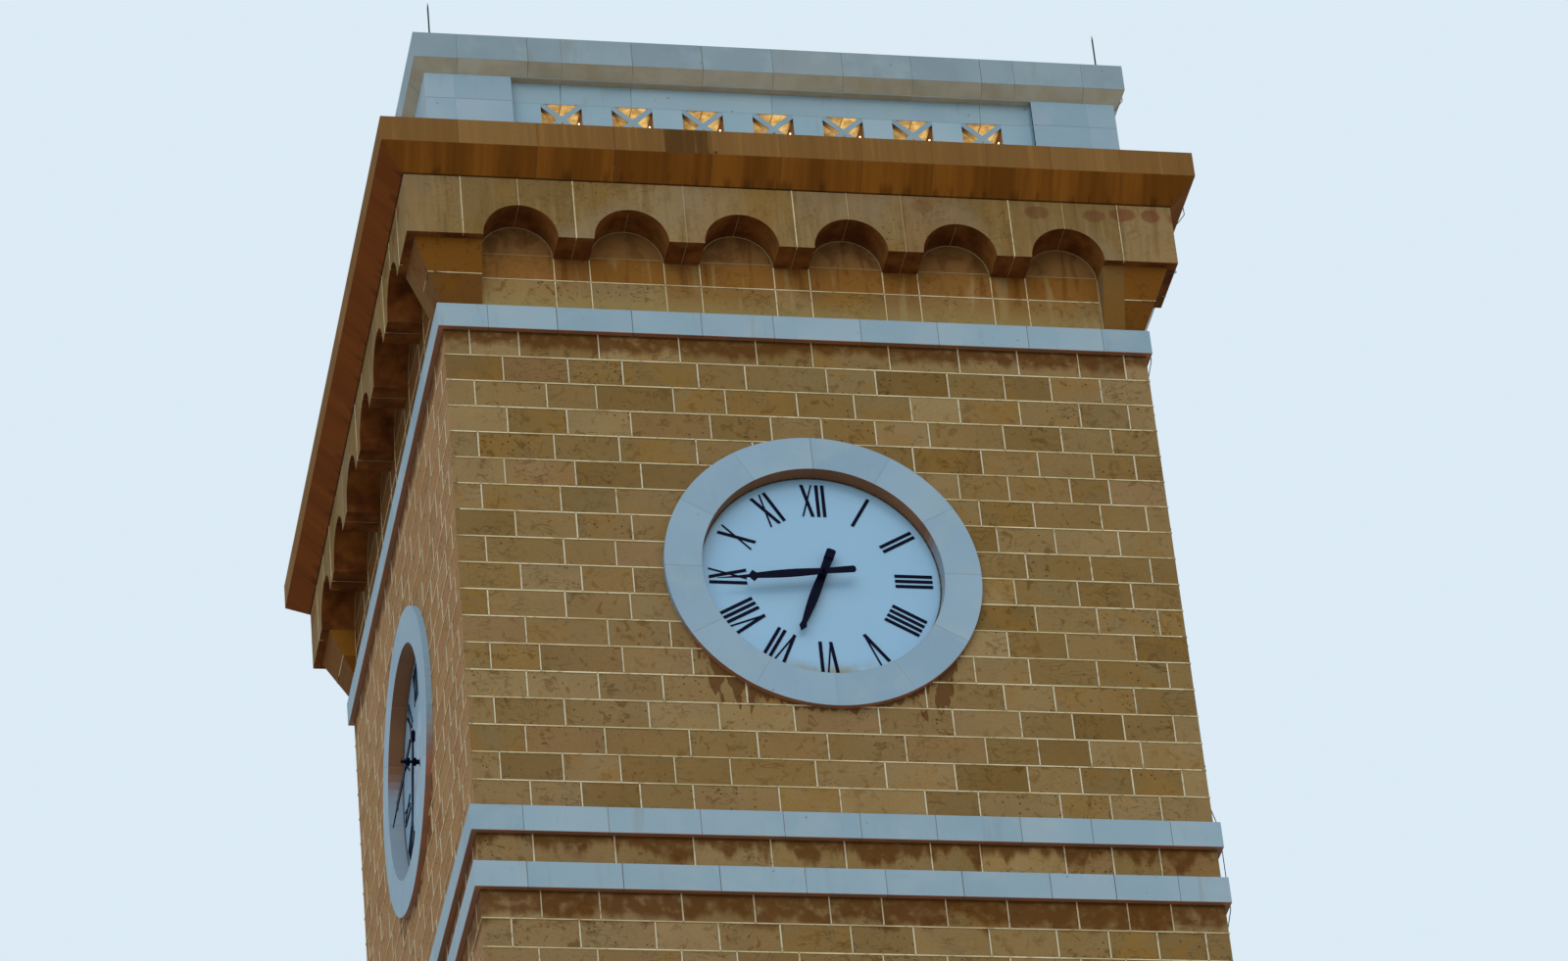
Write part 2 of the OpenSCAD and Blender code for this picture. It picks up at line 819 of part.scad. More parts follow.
// The bar that leads from the right front rod to the ground, with its clips
module lightning_conductor() {
    ground_step = (ground_h - plinth_h) / clip_count;
    storey_step = (storey_h - band_h) / clip_count;
    clock_step = clock_h / clip_count;
    color(METAL) {
        bar_along(conductor_route, conductor_r, conductor_sides);
        clip(plinth_half, line_y, plinth_h / 2);
        for (i = [0:clip_count - 1]) {
            clip(shaft_half, line_y, plinth_h + (i + 0.5) * ground_step);
            for (n = [1:4])
                clip(shaft_half, line_y, band_z(n) + band_h + (i + 0.5) * storey_step);
            clip(shaft_half, line_y, clock_z + (i + 0.5) * clock_step);
        }
        clip(pier_half, pier_line_y - 5, parapet_z + 350);
        clip(frieze_half, frieze_clip_y, frieze_clip_z);
    }
}

floor_slab();
plinth();
ground_walls();
door_wall();
door_surround();
band(band_z(1));  // band_1
storey_walls(band_z(1) + band_h, storey_h - band_h);  // storey_2_walls
band(band_z(2));  // band_2
storey_walls(band_z(2) + band_h, storey_h - band_h);  // storey_3_walls
band(band_z(3));  // band_3
storey_walls(band_z(3) + band_h, storey_h - band_h);  // storey_4_walls
band(band_z(4));  // band_4
storey_walls(band_z(4) + band_h, storey_h - band_h);  // storey_5_walls
band(band_z(5));  // band_5
storey_walls(course_z, band_course_h);  // band_course
band(upper_band_z);  // band_6
clock_wall(0);  // clock_wall_front
clock_wall(1);  // clock_wall_right
clock_wall(2);  // clock_wall_back
clock_wall(3);  // clock_wall_left
dial_ring(0);  // dial_ring_front
dial_ring(1);  // dial_ring_right
dial_ring(2);  // dial_ring_back
dial_ring(3);  // dial_ring_left
dial(0);  // dial_front
dial(1);  // dial_right
dial(2);  // dial_back
dial(3);  // dial_left
numerals();
hour_hand(0);  // hour_hand_front
hour_hand(1);  // hour_hand_right
hour_hand(2);  // hour_hand_back
hour_hand(3);  // hour_hand_left
minute_hand(0);  // minute_hand_front
minute_hand(1);  // minute_hand_right
minute_hand(2);  // minute_hand_back
minute_hand(3);  // minute_hand_left
band(top_band_z);  // band_7
storey_walls(niche_z, niche_h + frieze_h);  // niche_walls
corner_brackets();
frieze(0);  // frieze_front
frieze(1);  // frieze_right
frieze(2);  // frieze_back
frieze(3);  // frieze_left
cornice();
roof_deck();
corner_piers();
parapet(0);  // parapet_front
parapet(1);  // parapet_right
parapet(2);  // parapet_back
parapet(3);  // parapet_left
coping();
lightning_rods();
lightning_conductor();
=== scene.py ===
"""Looks of the stone clock tower: laid blocks with raised joints, dressed white stone, dials and lamps."""
import math
import random
from itertools import pairwise

import bmesh
import bpy
from mathutils import Matrix, Vector


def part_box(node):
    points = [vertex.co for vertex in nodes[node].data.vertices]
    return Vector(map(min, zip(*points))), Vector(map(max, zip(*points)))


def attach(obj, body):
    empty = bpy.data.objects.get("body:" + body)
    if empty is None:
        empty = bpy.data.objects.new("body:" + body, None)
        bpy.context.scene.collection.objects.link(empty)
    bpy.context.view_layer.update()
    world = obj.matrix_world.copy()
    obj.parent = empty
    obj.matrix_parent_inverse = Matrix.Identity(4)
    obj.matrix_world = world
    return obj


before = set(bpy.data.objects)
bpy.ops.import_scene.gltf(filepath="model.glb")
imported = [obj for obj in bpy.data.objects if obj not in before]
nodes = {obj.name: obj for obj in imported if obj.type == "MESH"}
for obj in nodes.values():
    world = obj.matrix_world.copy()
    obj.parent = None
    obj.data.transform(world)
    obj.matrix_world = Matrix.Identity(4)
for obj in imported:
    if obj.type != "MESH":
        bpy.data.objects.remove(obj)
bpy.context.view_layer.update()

# The sides of the tower in order: front, right, back and left. A side's own x runs right, -y outwards.
SIDES = range(4)
SIDE_NAMES = ("front", "right", "back", "left")
UP = (0, 0, 1)
TURN = [Matrix.Rotation(math.radians(90 * side), 4, "Z") for side in SIDES]
RIGHTWARD = [tuple(turn.to_3x3() @ Vector((1, 0, 0))) for turn in TURN]
OUTWARD = [tuple(turn.to_3x3() @ Vector((0, -1, 0))) for turn in TURN]

# Half widths and levels of the main parts, from the frame
SHAFT, BAND, PLINTH, FRIEZE, CORNICE, PIER, COPING = (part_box(name)[1].x for name in (
    "storey_2_walls", "band_1", "plinth", "frieze_front", "cornice", "corner_piers", "coping"))
PLINTH_TOP, FRIEZE_TOP, CORNICE_TOP, COPING_TOP = (
    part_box(name)[1].z for name in ("plinth", "frieze_front", "cornice", "coping"))
NICHE_FOOT, FRIEZE_FOOT, COPING_FOOT = (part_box(name)[0].z for name in ("niche_walls", "frieze_front", "coping"))
ring_low, ring_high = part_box("dial_ring_front")
RING_R = ring_high.x
RING_FACE = -ring_low.y
DIAL_Z = (ring_low.z + ring_high.z) / 2
DIAL_FACE = -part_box("numerals")[0].y - 0.006

# Sizes that the frame's boxes don't give, in metres
WALL = 0.6
ROOM = 2.55
RING_BORE = 1.01
SPLAY = 0.20
COPING_SLOPE = 0.10
ARCHES = 6
PENDANT_W = 0.305
CORNER_BLOCK = 0.642
BRACKET_FOOT = SHAFT + 0.010
BRACKET_TOP = 3.235
BRACKET_JOINT = 0.265
BRACKET_STRIP = 2.85
NICHE_LEVELS = (0.311, 0.566)
CORNER_JOINT = 2.835
HOLES = 7
HOLE_W = 0.355
HOLE_H = 0.32
HOLE_FOOT = CORNICE_TOP + 0.36
PANEL_END = 0.13
PIER_W = 0.746
PIER_JOINT = 0.252
PIER_COURSES = (0.55, 0.265, 0)
COPING_W = 0.56
CORNICE_JOINTS = [-2.86, -2.19, -1.53, -1.10, -0.70, -0.10, 0.60, 1.21, 1.69, 2.25, 2.86]
PANEL_FACE = 2.924
LINTEL_LEAN = 0.032
DOOR_SPRING = 2.05
DOOR_R = 0.65
DOOR_STONE_R = 0.87

ARCH_PITCH = (2 * (FRIEZE - CORNER_BLOCK) + PENDANT_W) / ARCHES
ARCH_R = (ARCH_PITCH - PENDANT_W) / 2
ARCH_X = [(n - (ARCHES - 1) / 2) * ARCH_PITCH for n in range(ARCHES)]
HOLE_PITCH = (2 * (PIER - PIER_W) - 2 * PANEL_END) / HOLES
HOLE_X = [(n - (HOLES - 1) / 2) * HOLE_PITCH for n in range(HOLES)]

# Stonework
COURSE = 0.26
BLOCK_LENGTHS = (0.40, 0.70)
SHORTEST = 0.33
BOND = 0.10
QUOIN_LONG = (0.40, 0.52)
QUOIN_SHORT = (0.19, 0.23)
BLOCK_OUT = 0.004
RIBBON_OUT = 0.009
RIBBON_W = 0.0105
SINK = 0.03
BEHIND = SHAFT - SINK
FACING = 0.0015
ARRIS = 0.002
TIGHT_JOINT = 0.0015
OPEN_JOINT = 0.005

# Lamps in the openings of the parapet: place beside the middle of an opening, from the tower's axis and height
LAMP_ASIDE = 0.16
LAMP_OUT = 2.845
LAMP_Z = CORNICE_TOP + 0.54
LAMP_POWER = 0.036


def colour(code):
    """A linear colour from a code such as #8f7343."""
    parts = [int(code[n:n + 2], 16) / 255 for n in (1, 3, 5)]
    linear = [p / 12.92 if p <= 0.04045 else ((p + 0.055) / 1.055) ** 2.4 for p in parts]
    return (*linear, 1)


def in_scene(name, data):
    """A new object, put in the scene."""
    thing = bpy.data.objects.new(name, data)
    bpy.context.scene.collection.objects.link(thing)
    return thing


# Shaders

class Wire:
    """A value that varies over a surface. Sums and products of wires add Math nodes."""

    def __init__(self, finish, socket):
        self.finish, self.socket = finish, socket

    def math(self, operation, *others):
        return self.finish.maths(operation, self, *others)

    def __add__(self, other):
        return self.math("ADD", other)

    __radd__ = __add__

    def __sub__(self, other):
        return self.math("SUBTRACT", other)

    def __rsub__(self, other):
        return self.finish.maths("SUBTRACT", other, self)

    def __mul__(self, other):
        return self.math("MULTIPLY", other)

    __rmul__ = __mul__

    def __truediv__(self, other):
        return self.math("DIVIDE", other)

    def __abs__(self):
        return self.math("ABSOLUTE")

    def between(self, low, high):
        """Rises smoothly from 0 at low to 1 at high."""
        return self.finish.add(
            "MapRange", {"interpolation_type": "SMOOTHSTEP"}, {"Value": self, "From Min": low, "From Max": high})


class Finish:
    """One material: a shader and the nodes that feed it."""

    def __init__(self, name, **uniform):
        self.material = bpy.data.materials.new(name)
        self.material.use_nodes = True
        self.tree = self.material.node_tree
        self.tree.nodes.clear()
        output = self.tree.nodes.new("ShaderNodeOutputMaterial")
        shader = self.add("BsdfPrincipled", {}, {})
        self.tree.links.new(shader.socket, output.inputs["Surface"])
        self.inputs = shader.socket.node.inputs
        for socket, value in uniform.items():
            self.inputs[socket.replace("_", " ")].default_value = value
        self.place = self.add("TexCoord", {}, {}, "Object")

    def add(self, kind, settings, values, output=0):
        """Adds a node with its settings, and links or sets its sockets."""
        node = self.tree.nodes.new("ShaderNode" + kind)
        for key, value in settings.items():
            if key == "stops":
                ramp = node.color_ramp.elements
                for _ in value[len(ramp):]:
                    ramp.new(1)
                for element, (position, code) in zip(ramp, value):
                    element.position = position
                    element.color = colour(code)
            else:
                setattr(node, key, value)
        for key, value in values.items():
            if isinstance(value, Wire):
                self.tree.links.new(value.socket, node.inputs[key])
            else:
                node.inputs[key].default_value = value
        return Wire(self, node.outputs[output])

    def maths(self, operation, *values):
        return self.add("Math", {"operation": operation}, dict(enumerate(values)))

    def feed(self, **wires):
        """Links wires to the shader's sockets."""
        for socket, wire in wires.items():
            self.tree.links.new(wire.socket, self.inputs[socket.replace("_", " ")])

    def vector(self, operation, *values, output=0):
        return self.add("VectorMath", {"operation": operation}, dict(enumerate(values)), output)

    def along(self, direction, place=None):
        """How far a point, or another vector, reaches along a direction."""
        return self.vector("DOT_PRODUCT", place or self.place, direction, output="Value")

    def facing(self, direction):
        """1 where the surface faces a direction, -1 where it faces away."""
        return self.along(direction, self.add("NewGeometry", {}, {}, "Normal"))

    def parts(self, wire):
        """The three components of a vector or colour."""
        split = self.add("SeparateXYZ", {}, {"Vector": wire}).socket.node
        return [Wire(self, socket) for socket in split.outputs]

    def chances(self, value):
        """Three random numbers that belong to a value."""
        return self.parts(self.add("TexWhiteNoise", {"noise_dimensions": "1D"}, {"W": value * 97.0}, "Color"))

    def specks(self, scale, size, place=None):
        """Small round specks, 1 in their middles."""
        cells = self.add("TexVoronoi", {}, {"Vector": place or self.place, "Scale": scale}, "Distance")
        return cells.between(size, size * 0.5)

    def noise(self, scale, detail=2, place=None, distortion=0.0):
        return self.add(
            "TexNoise", {}, {"Vector": place or self.place, "Scale": scale, "Detail": detail, "Distortion": distortion})

    def mix(self, factor, first, second):
        """A colour between two others, which are wires or colour codes."""
        pair = [c if isinstance(c, Wire) else colour(c) for c in (first, second)]
        return self.add("Mix", {"data_type": "RGBA"}, {0: factor, 6: pair[0], 7: pair[1]}, 2)

    def layers(self, base, *coats):
        """A colour with others over it, each laid on by a factor."""
        for factor, code in coats:
            base = self.mix(factor, base, code)
        return base

    def brighten(self, tint, amount):
        return self.add("HueSaturation", {}, {"Value": amount, "Color": tint})

    def bump(self, height, distance, strength=0.5):
        self.feed(Normal=self.add("Bump", {}, {"Height": height, "Distance": distance, "Strength": strength}))

    def tone(self):
        """The tone of the stone that a point lies on, from 0 to 1."""
        return self.add("Attribute", {"attribute_name": "tone"}, {}, "Fac")

    def drawn_out(self, amount, place=None):
        """A place whose height is scaled, so that a pattern is drawn out into streaks."""
        return self.vector("MULTIPLY", place or self.place, (1, 1, amount))

    def shaded_underside(self):
        # How much a face looks down: where painted shade and bounced light go on faces that look down.
        return self.facing(UP).between(-0.15, -0.6)

    def left_side_shading(self):
        """1 on the left side of the tower, where a painted tint stands for the light that falls differently on that
        side.
        """
        return self.facing(OUTWARD[3]).between(0.6, 0.9)

    def done(self, base, roughness, *relief):
        """Links the colour, the roughness and the relief, and gives the material."""
        self.feed(Base_Color=base, Roughness=roughness)
        self.bump(*relief)
        return self.material

    def rough_stone(self, base, height):
        """Finishes a material as dull, rough sandstone."""
        return self.done(base, 0.80 + self.noise(75, 1) * 0.15, height, 0.004, 0.6)


def stone_place(finish, tone):
    """Object coordinates, moved by each stone's tone so that no pattern runs on into the next stone."""
    return finish.vector("MULTIPLY_ADD", tone, (37.0, 19.0, 53.0), finish.place)


def soaking(finish, top, depth, spread, chance):
    """Where rain has soaked the stone below a ledge, deeper on some stones than on others, with a soft edge."""
    below = top - finish.along(UP)
    streaks = finish.noise(5.5, 4, finish.drawn_out(0.14)) - 0.5
    wet = depth * (0.7 + chance * 0.4) + streaks * spread
    return (wet - below).between(-0.045, 0.055) * finish.noise(9, 4).between(0.15, 0.55)


WALL_TONES = [(0.0, "#69532c"), (0.2, "#745e37"), (0.5, "#7d6740"), (0.8, "#85704b"), (1.0, "#927e58")]
FRIEZE_TONES = [(0.0, "#6c5731"), (0.5, "#7c6640"), (1.0, "#8a7651")]
NICHE_TONES = [(0.0, "#6d4f27"), (0.3, "#7a5b32"), (0.6, "#846940"), (1.0, "#8f7952")]
# The brackets' tones run darker and more orange than the wall's: partly stain, partly painted shade on their faces that
# slope down.
BRACKET_TONES = [(0.0, "#67410f"), (0.3, "#734a13"), (0.6, "#895b1e"), (0.9, "#806739"), (1.0, "#876f41")]
STAIN = "#512f0b"
# Colour of faces that look down: partly brown stain, partly painted shade.
SOFFIT_STAIN_AND_SHADE = "#5c3610"


def stone_tint(finish, tone, tones, speckle=1.0):
    """The colour of one sandstone block: its tone, a leaning to amber or grey, clouds, blotches and specks."""
    place = stone_place(finish, tone)
    amber, grey, spotted = finish.chances(tone)
    cloud = finish.noise(2.2, 4, place)
    patch = finish.noise(3.4, 5, place, 0.6)
    base = finish.layers(
        finish.add("ValToRGB", {"stops": tones}, {"Fac": tone}),
        ((amber * amber) * patch.between(0.38, 0.62) * 0.6, "#83632b"),
        (grey * grey * grey * (1 - patch.between(0.4, 0.6)) * 0.5, "#776a4b"),
        ((1 - grey).between(0.86, 0.98) * 0.35, "#7f6248"))
    if tones is WALL_TONES:
        # On the walls: large pale patches, and a painted pinkish light on the left side.
        base = finish.layers(
            base, (finish.noise(0.35, 1).between(0.42, 0.65) * 0.25, "#86735a"), (finish.left_side_shading() * 0.5, "#a87e59"))
    elif tones is BRACKET_TONES:
        # On the brackets: a painted cooler light on the left side.
        base = finish.mix(finish.left_side_shading() * 0.5, base, "#705a44")
    grain = finish.noise(60, 4)
    blotch = finish.noise(11, 6, place, 0.8).between(0.55, 0.68) * (0.3 + spotted * 0.7)
    scratch = abs(finish.noise(5, 4, finish.drawn_out(1.8, place), 1.2) - 0.5)
    scratch = scratch.between(0.014, 0.003) * finish.noise(2.3, 1, place).between(0.5, 0.6)
    dots = finish.specks(16, 0.19, place) * spotted.between(0.2, 0.7) * finish.noise(2.7, 1, place).between(0.42, 0.52)
    base = finish.layers(
        finish.brighten(base, 0.68 + cloud * 0.28 + grain * 0.38), (blotch * 0.6 * speckle, "#513409"),
        (scratch * 0.5 * speckle, "#463012"), (dots * 0.75 * speckle, "#33200a"))
    return base, cloud * 2 + grain * 0.5 + finish.noise(24, 3, place) - dots - scratch


def sandstone(name, soaked_from=None, depth=0.11, spread=0.25, ring_stain=False, tones=WALL_TONES):
    """Sandstone blocks, each in its own tone, with dark soaked stone under a ledge, a thin painted shadow just under
    the ledge, and faces that look down painted darker brown, partly stain and partly painted shade.
    """
    finish = Finish(name, Specular_IOR_Level=0.08)
    tone = finish.tone()
    base, height = stone_tint(finish, tone, tones)
    if soaked_from:
        wet = soaking(finish, soaked_from, depth, spread, finish.chances(tone + 3.0)[0])
        below = soaked_from - finish.along(UP)
        # Soaked stone under the ledge, and a thin painted shadow along the ledge's lower edge.
        base = finish.layers(base, (wet * 0.85, STAIN), (below.between(0.035, 0.015) * 0.6, "#432707"))
    if ring_stain:
        base = finish.mix(ring_drips(finish) * 0.75, base, "#4f2e12")
    # Faces that look down go darker brown: partly stain, partly painted shade.
    base = finish.mix(finish.shaded_underside() * 0.85, base, SOFFIT_STAIN_AND_SHADE)
    return finish.rough_stone(base, height)


def niche_stone():
    """Stone behind the arches: paler near the band, orange brown above, and pinkish under the arches."""
    finish = Finish("niche_sandstone", Specular_IOR_Level=0.08)
    tone = finish.tone()
    base, height = stone_tint(finish, tone, NICHE_TONES, 1.2)
    level = finish.along(UP) - NICHE_FOOT
    middle, top = (level.between(joint - 0.003, joint + 0.003) * 0.6 for joint in NICHE_LEVELS)
    mould = finish.noise(5, 5, distortion=0.6).between(0.50, 0.62) * level.between(0.5, 0.62)
    run = finish.noise(7, 4, finish.drawn_out(0.12), 0.4)
    # The last coat darkens the niche on the left side: painted shade.
    base = finish.layers(
        base, (middle, "#83541a"), (top, "#7d5d3a"), (mould * 0.45, "#4a2e15"),
        (run.between(0.56, 0.66) * level.between(0.62, 0.5) * 0.5, "#96845a"),
        (run.between(0.46, 0.36) * level.between(0.2, 0.35) * 0.5, "#57340c"),
        (level.between(0.26, 0.0) * 0.7, "#8b7d50"), (finish.left_side_shading() * 0.75, "#4a2a0c"))
    return finish.rough_stone(base, height)


def frieze_stone(side):
    """Stone of the frieze, in blocks half an arch bay wide. The vaults and faces that look down are darker brown,
    partly stain and partly painted shade, with a lighter painted light on the vault flanks that face left, and their
    joints are pale.
    """
    finish = Finish(f"frieze_{SIDE_NAMES[side]}_stone", Specular_IOR_Level=0.08)
    across = finish.along(RIGHTWARD[side])
    out = finish.along(OUTWARD[side])
    block = (across / (ARCH_PITCH / 2)).math("FLOOR")
    corner = abs(across).between(CORNER_JOINT - 0.001, CORNER_JOINT + 0.001)
    number = block * (1 - corner) + corner * (across.math("SIGN") * 9.0) + side * 40.0
    tone = finish.chances(number * 0.37)[0] * 0.8 + 0.1
    base, height = stone_tint(finish, tone, FRIEZE_TONES, 0.6)
    streak, thread = (finish.noise(scale, detail, finish.drawn_out(0.1)) for scale, detail in ((10, 4), (34, 3)))
    red = finish.mix(across.between(2.75, 2.85), "#5f3a22", "#64301a")
    base = finish.layers(
        base, (streak.between(0.52, 0.68) * 0.35, "#8b7a52"), (streak.between(0.46, 0.32) * 0.4, "#5b4423"),
        (thread.between(0.50, 0.40) * 0.2, "#584423"), (finish.noise(0.9).between(0.52, 0.66) * 0.5, "#857660"),
        (oval_stains(finish, across) * 0.6, red))
    # Vaults and faces that look down: darker brown, partly stain and partly painted shade; flanks that face left get a
    # lighter painted light.
    last = ARCH_X[-1] + ARCH_R
    vault = abs(across).between(last + 0.01, last) * out.between(FRIEZE - 0.002, FRIEZE - 0.006)
    under = vault.math("MAXIMUM", finish.shaded_underside())
    dark = finish.mix(finish.noise(4, 4).between(0.35, 0.65), "#542b10", "#74451d")
    dark = finish.mix(finish.facing(RIGHTWARD[side]).between(-0.5, -1.0) * 0.6, dark, "#7c5628")
    dark = finish.brighten(dark, 0.45 + finish.noise(11, 5) * 1.1)
    return finish.rough_stone(finish.mix(under, base, dark), height)


def oval_stains(finish, across):
    """Reddish smudges in a row along the top of the frieze, towards its right end."""
    cell = across / 0.25
    width, chance, lift = finish.chances(cell.math("FLOOR") * 0.31)
    middle = (cell.math("FRACT") - 0.5) / (0.36 + width * 0.18)
    drop = (finish.along(UP) - (FRIEZE_TOP - 0.13) - lift * 0.03) / 0.075
    ragged = (finish.noise(22, 3) - 0.5) * 0.9
    round_spot = (middle * middle + drop * drop + ragged).between(1.1, 0.5)
    chosen = chance.between(0.3, 0.4).math("MAXIMUM", across.between(2.6, 2.7))
    return round_spot * chosen * across.between(0.6, 1.6)


def round_dial(finish):
    """On every side of the tower: height over the middle of the dial, distance beside it and distance from it."""
    level = finish.along(UP) - DIAL_Z
    aside = abs(finish.along((1, 0, 0))).math("MINIMUM", abs(finish.along((0, 1, 0))))
    return level, aside, (aside * aside + level * level).math("SQRT")


def ring_drips(finish):
    """Two runs of dirt that fall from the lower flanks of the white ring round each dial."""
    level, aside, radius = round_dial(finish)
    run = finish.noise(11, 3, finish.drawn_out(0.25))
    flank = abs(aside - 0.85).between(0.30, 0.08)
    reach = (flank * 0.22 + 0.08) * run.between(0.40, 0.62) * level.between(-0.65, -0.95)
    return (reach + RING_R - radius).between(-0.005, 0.02)


def ribbon_mortar(name, soaked_from=None, depth=0.11):
    """Raised cream pointing, a little dirty: brownish at a low tone, cooler at a high one."""
    finish = Finish(name, Specular_IOR_Level=0.1)
    tone = finish.tone()
    base = finish.layers(
        "#b5a981", (finish.noise(2.2, 3).between(0.3, 0.7), "#d3caab"), (tone.between(0.55, 0.85) * 0.7, "#bcbba8"),
        (tone.between(0.45, 0.05) * 0.75, "#7d6238"), (finish.noise(13, 4).between(0.54, 0.70) * 0.6, "#8a754c"))
    if soaked_from:
        below = soaked_from - finish.along(UP)
        base = finish.mix(below.between(depth * 1.4, depth * 0.4) * 0.45, base, "#7a5a30")
    return finish.done(base, 0.85 + finish.noise(60) * 0.1, finish.noise(70), 0.002)


def bed_mortar(name, code):
    """Old mortar seen in the gaps between stones, and the rough inner face of the walls in courses."""
    finish = Finish(name, Specular_IOR_Level=0.2)
    level = finish.along(UP) / COURSE
    row = level.math("FLOOR")
    inside = finish.along((1, 1, 0)) / 0.52 + row * 0.5
    line = level.math("FRACT").between(0.06, 0.03).math("MAXIMUM", inside.math("FRACT").between(0.035, 0.015))
    block = finish.add("TexWhiteNoise", {"noise_dimensions": "2D"}, {
        "Vector": finish.add("CombineXYZ", {}, {"X": row, "Y": inside.math("FLOOR")})})
    base = finish.brighten(finish.mix(finish.noise(4, 4), code, "#5c4a2e"), 0.8 + block * 0.4)
    base = finish.mix(line * 0.7, base, "#6f6750")
    return finish.done(base, 0.88 + finish.noise(50) * 0.1, finish.noise(30, 4) - line, 0.006)


def white_stone(name, base="#7d9cae", paler="#8aa3b2", soffit="#a05c26", runs=0.25, pink=0.0, inside=None,
                dirt="#6b5a3c"):
    """Dressed white stone: cool grey-white, faint clouds, a few specks and drips, and faces that look down painted in
    the soffit colour with patches of the dirt colour, standing for the shade and warm bounced light on them.
    """
    finish = Finish(name, Specular_IOR_Level=0.3)
    tone = finish.tone()
    place = stone_place(finish, tone)
    cloud = finish.noise(1.8, 4, place)
    grain = finish.noise(90, 3)
    tint = finish.mix(cloud.between(0.35, 0.65) * 0.5 + tone * 0.5, base, paler)
    run = finish.noise(12, 4, finish.drawn_out(0.15)).between(0.55, 0.75) * finish.noise(1.3, 3).between(0.42, 0.62)
    speck = finish.specks(7, 0.10, place) * finish.noise(1.9, 1, place).between(0.52, 0.6)
    # The soffit colour with patches of the dirt colour: painted shade and bounced light on faces that look down.
    beneath = finish.mix(finish.noise(5, 4, place).between(0.3, 0.7) * 0.6, soffit, dirt)
    tint = finish.layers(
        finish.brighten(tint, 0.90 + cloud * 0.08 + grain * 0.06 + tone * 0.07),
        (finish.noise(2.6, 3, place).between(0.52, 0.68) * 0.3, "#96aab3"),
        (finish.chances(tone + 5.0)[0].between(0.75, 0.85) * pink, "#948b86"), (run * runs, "#77705c"),
        (speck * 0.5, "#56605f"), (finish.shaded_underside() * 0.9, finish.brighten(beneath, 0.75 + cloud * 0.5)))
    # Faces that the inside mask picks out are painted brown: painted shade and bounced light.
    if inside:
        tint = finish.mix(inside(finish), tint, finish.mix(cloud, "#6e4526", "#8a6244"))
    finish.feed(Base_Color=tint, Roughness=0.55 + grain * 0.2)
    finish.bump(grain * 0.5 + finish.noise(16, 3, place), 0.002, 0.4)
    return finish


def ring_reveal_shading(finish):
    """1 on the inner side of the ring round a dial in its upper part, and 0.25 in its lower part: where brown painted
    shade and bounced light go.
    """
    within = round_dial(finish)[2].between(RING_BORE + 0.003, RING_BORE + 0.001)
    return within * (finish.facing(UP).between(-0.25, -0.5) * 0.75 + 0.25)


def inside_openings(finish, side):
    """1 on the faces inside the openings of a pierced panel."""
    across = finish.along(RIGHTWARD[side])
    within = (abs(across) - HOLE_X[-1] - HOLE_W).between(0.01, 0.0)
    return within * finish.along(OUTWARD[side]).between(PANEL_FACE - 0.001, PANEL_FACE - 0.004)


def painted_lamp_light(finish, side):
    """Lamp light painted on the faces in the openings: what each lamp would throw on a face, and a glow, given to the
    stone as emission. Outer corners, and the jamb that carries the lamp, are kept dark as painted shade.
    """
    across = finish.along(RIGHTWARD[side])
    bay = across - (across / HOLE_PITCH).math("ROUND") * HOLE_PITCH
    out = finish.along(OUTWARD[side])
    reach = [LAMP_ASIDE - bay, LAMP_OUT - out, LAMP_Z - finish.along(UP)]
    turned = [finish.facing(axis) for axis in (RIGHTWARD[side], OUTWARD[side], UP)]
    square = sum(part * part for part in reach) + 0.004
    toward = sum(part * turn for part, turn in zip(reach, turned))
    light = (toward.math("MAXIMUM", 0.0) / square.math("SQRT") + 0.25) / square * LAMP_POWER
    corner = (abs(bay) - (PANEL_FACE - out) * 0.35).between(0.165, 0.085)
    away = finish.facing(RIGHTWARD[side]).between(-0.95, -0.75)
    crack = abs(bay).between(0.003, 0.008) * 0.7 + 0.3
    return light / (light + 0.3) * corner * crack * away * inside_openings(finish, side)


def parapet_stone(side):
    """White stone of a pierced panel. The light of the lamps in its openings is painted on it as emission, over a brown
    painted shade on the faces inside the openings.
    """
    finish = white_stone(f"pierced_stone_{SIDE_NAMES[side]}", inside=lambda shader: inside_openings(shader, side))
    # The painted lamp light, given to the stone as emission.
    light = painted_lamp_light(finish, side) * (finish.noise(15, 5) * 2.6 - 0.35).math("MAXIMUM", 0.15)
    finish.feed(Emission_Color=finish.mix(light.math("MINIMUM", 1.0), "#000000", "#ebc173"))
    finish.inputs["Emission Strength"].default_value = 1.0
    return finish.material


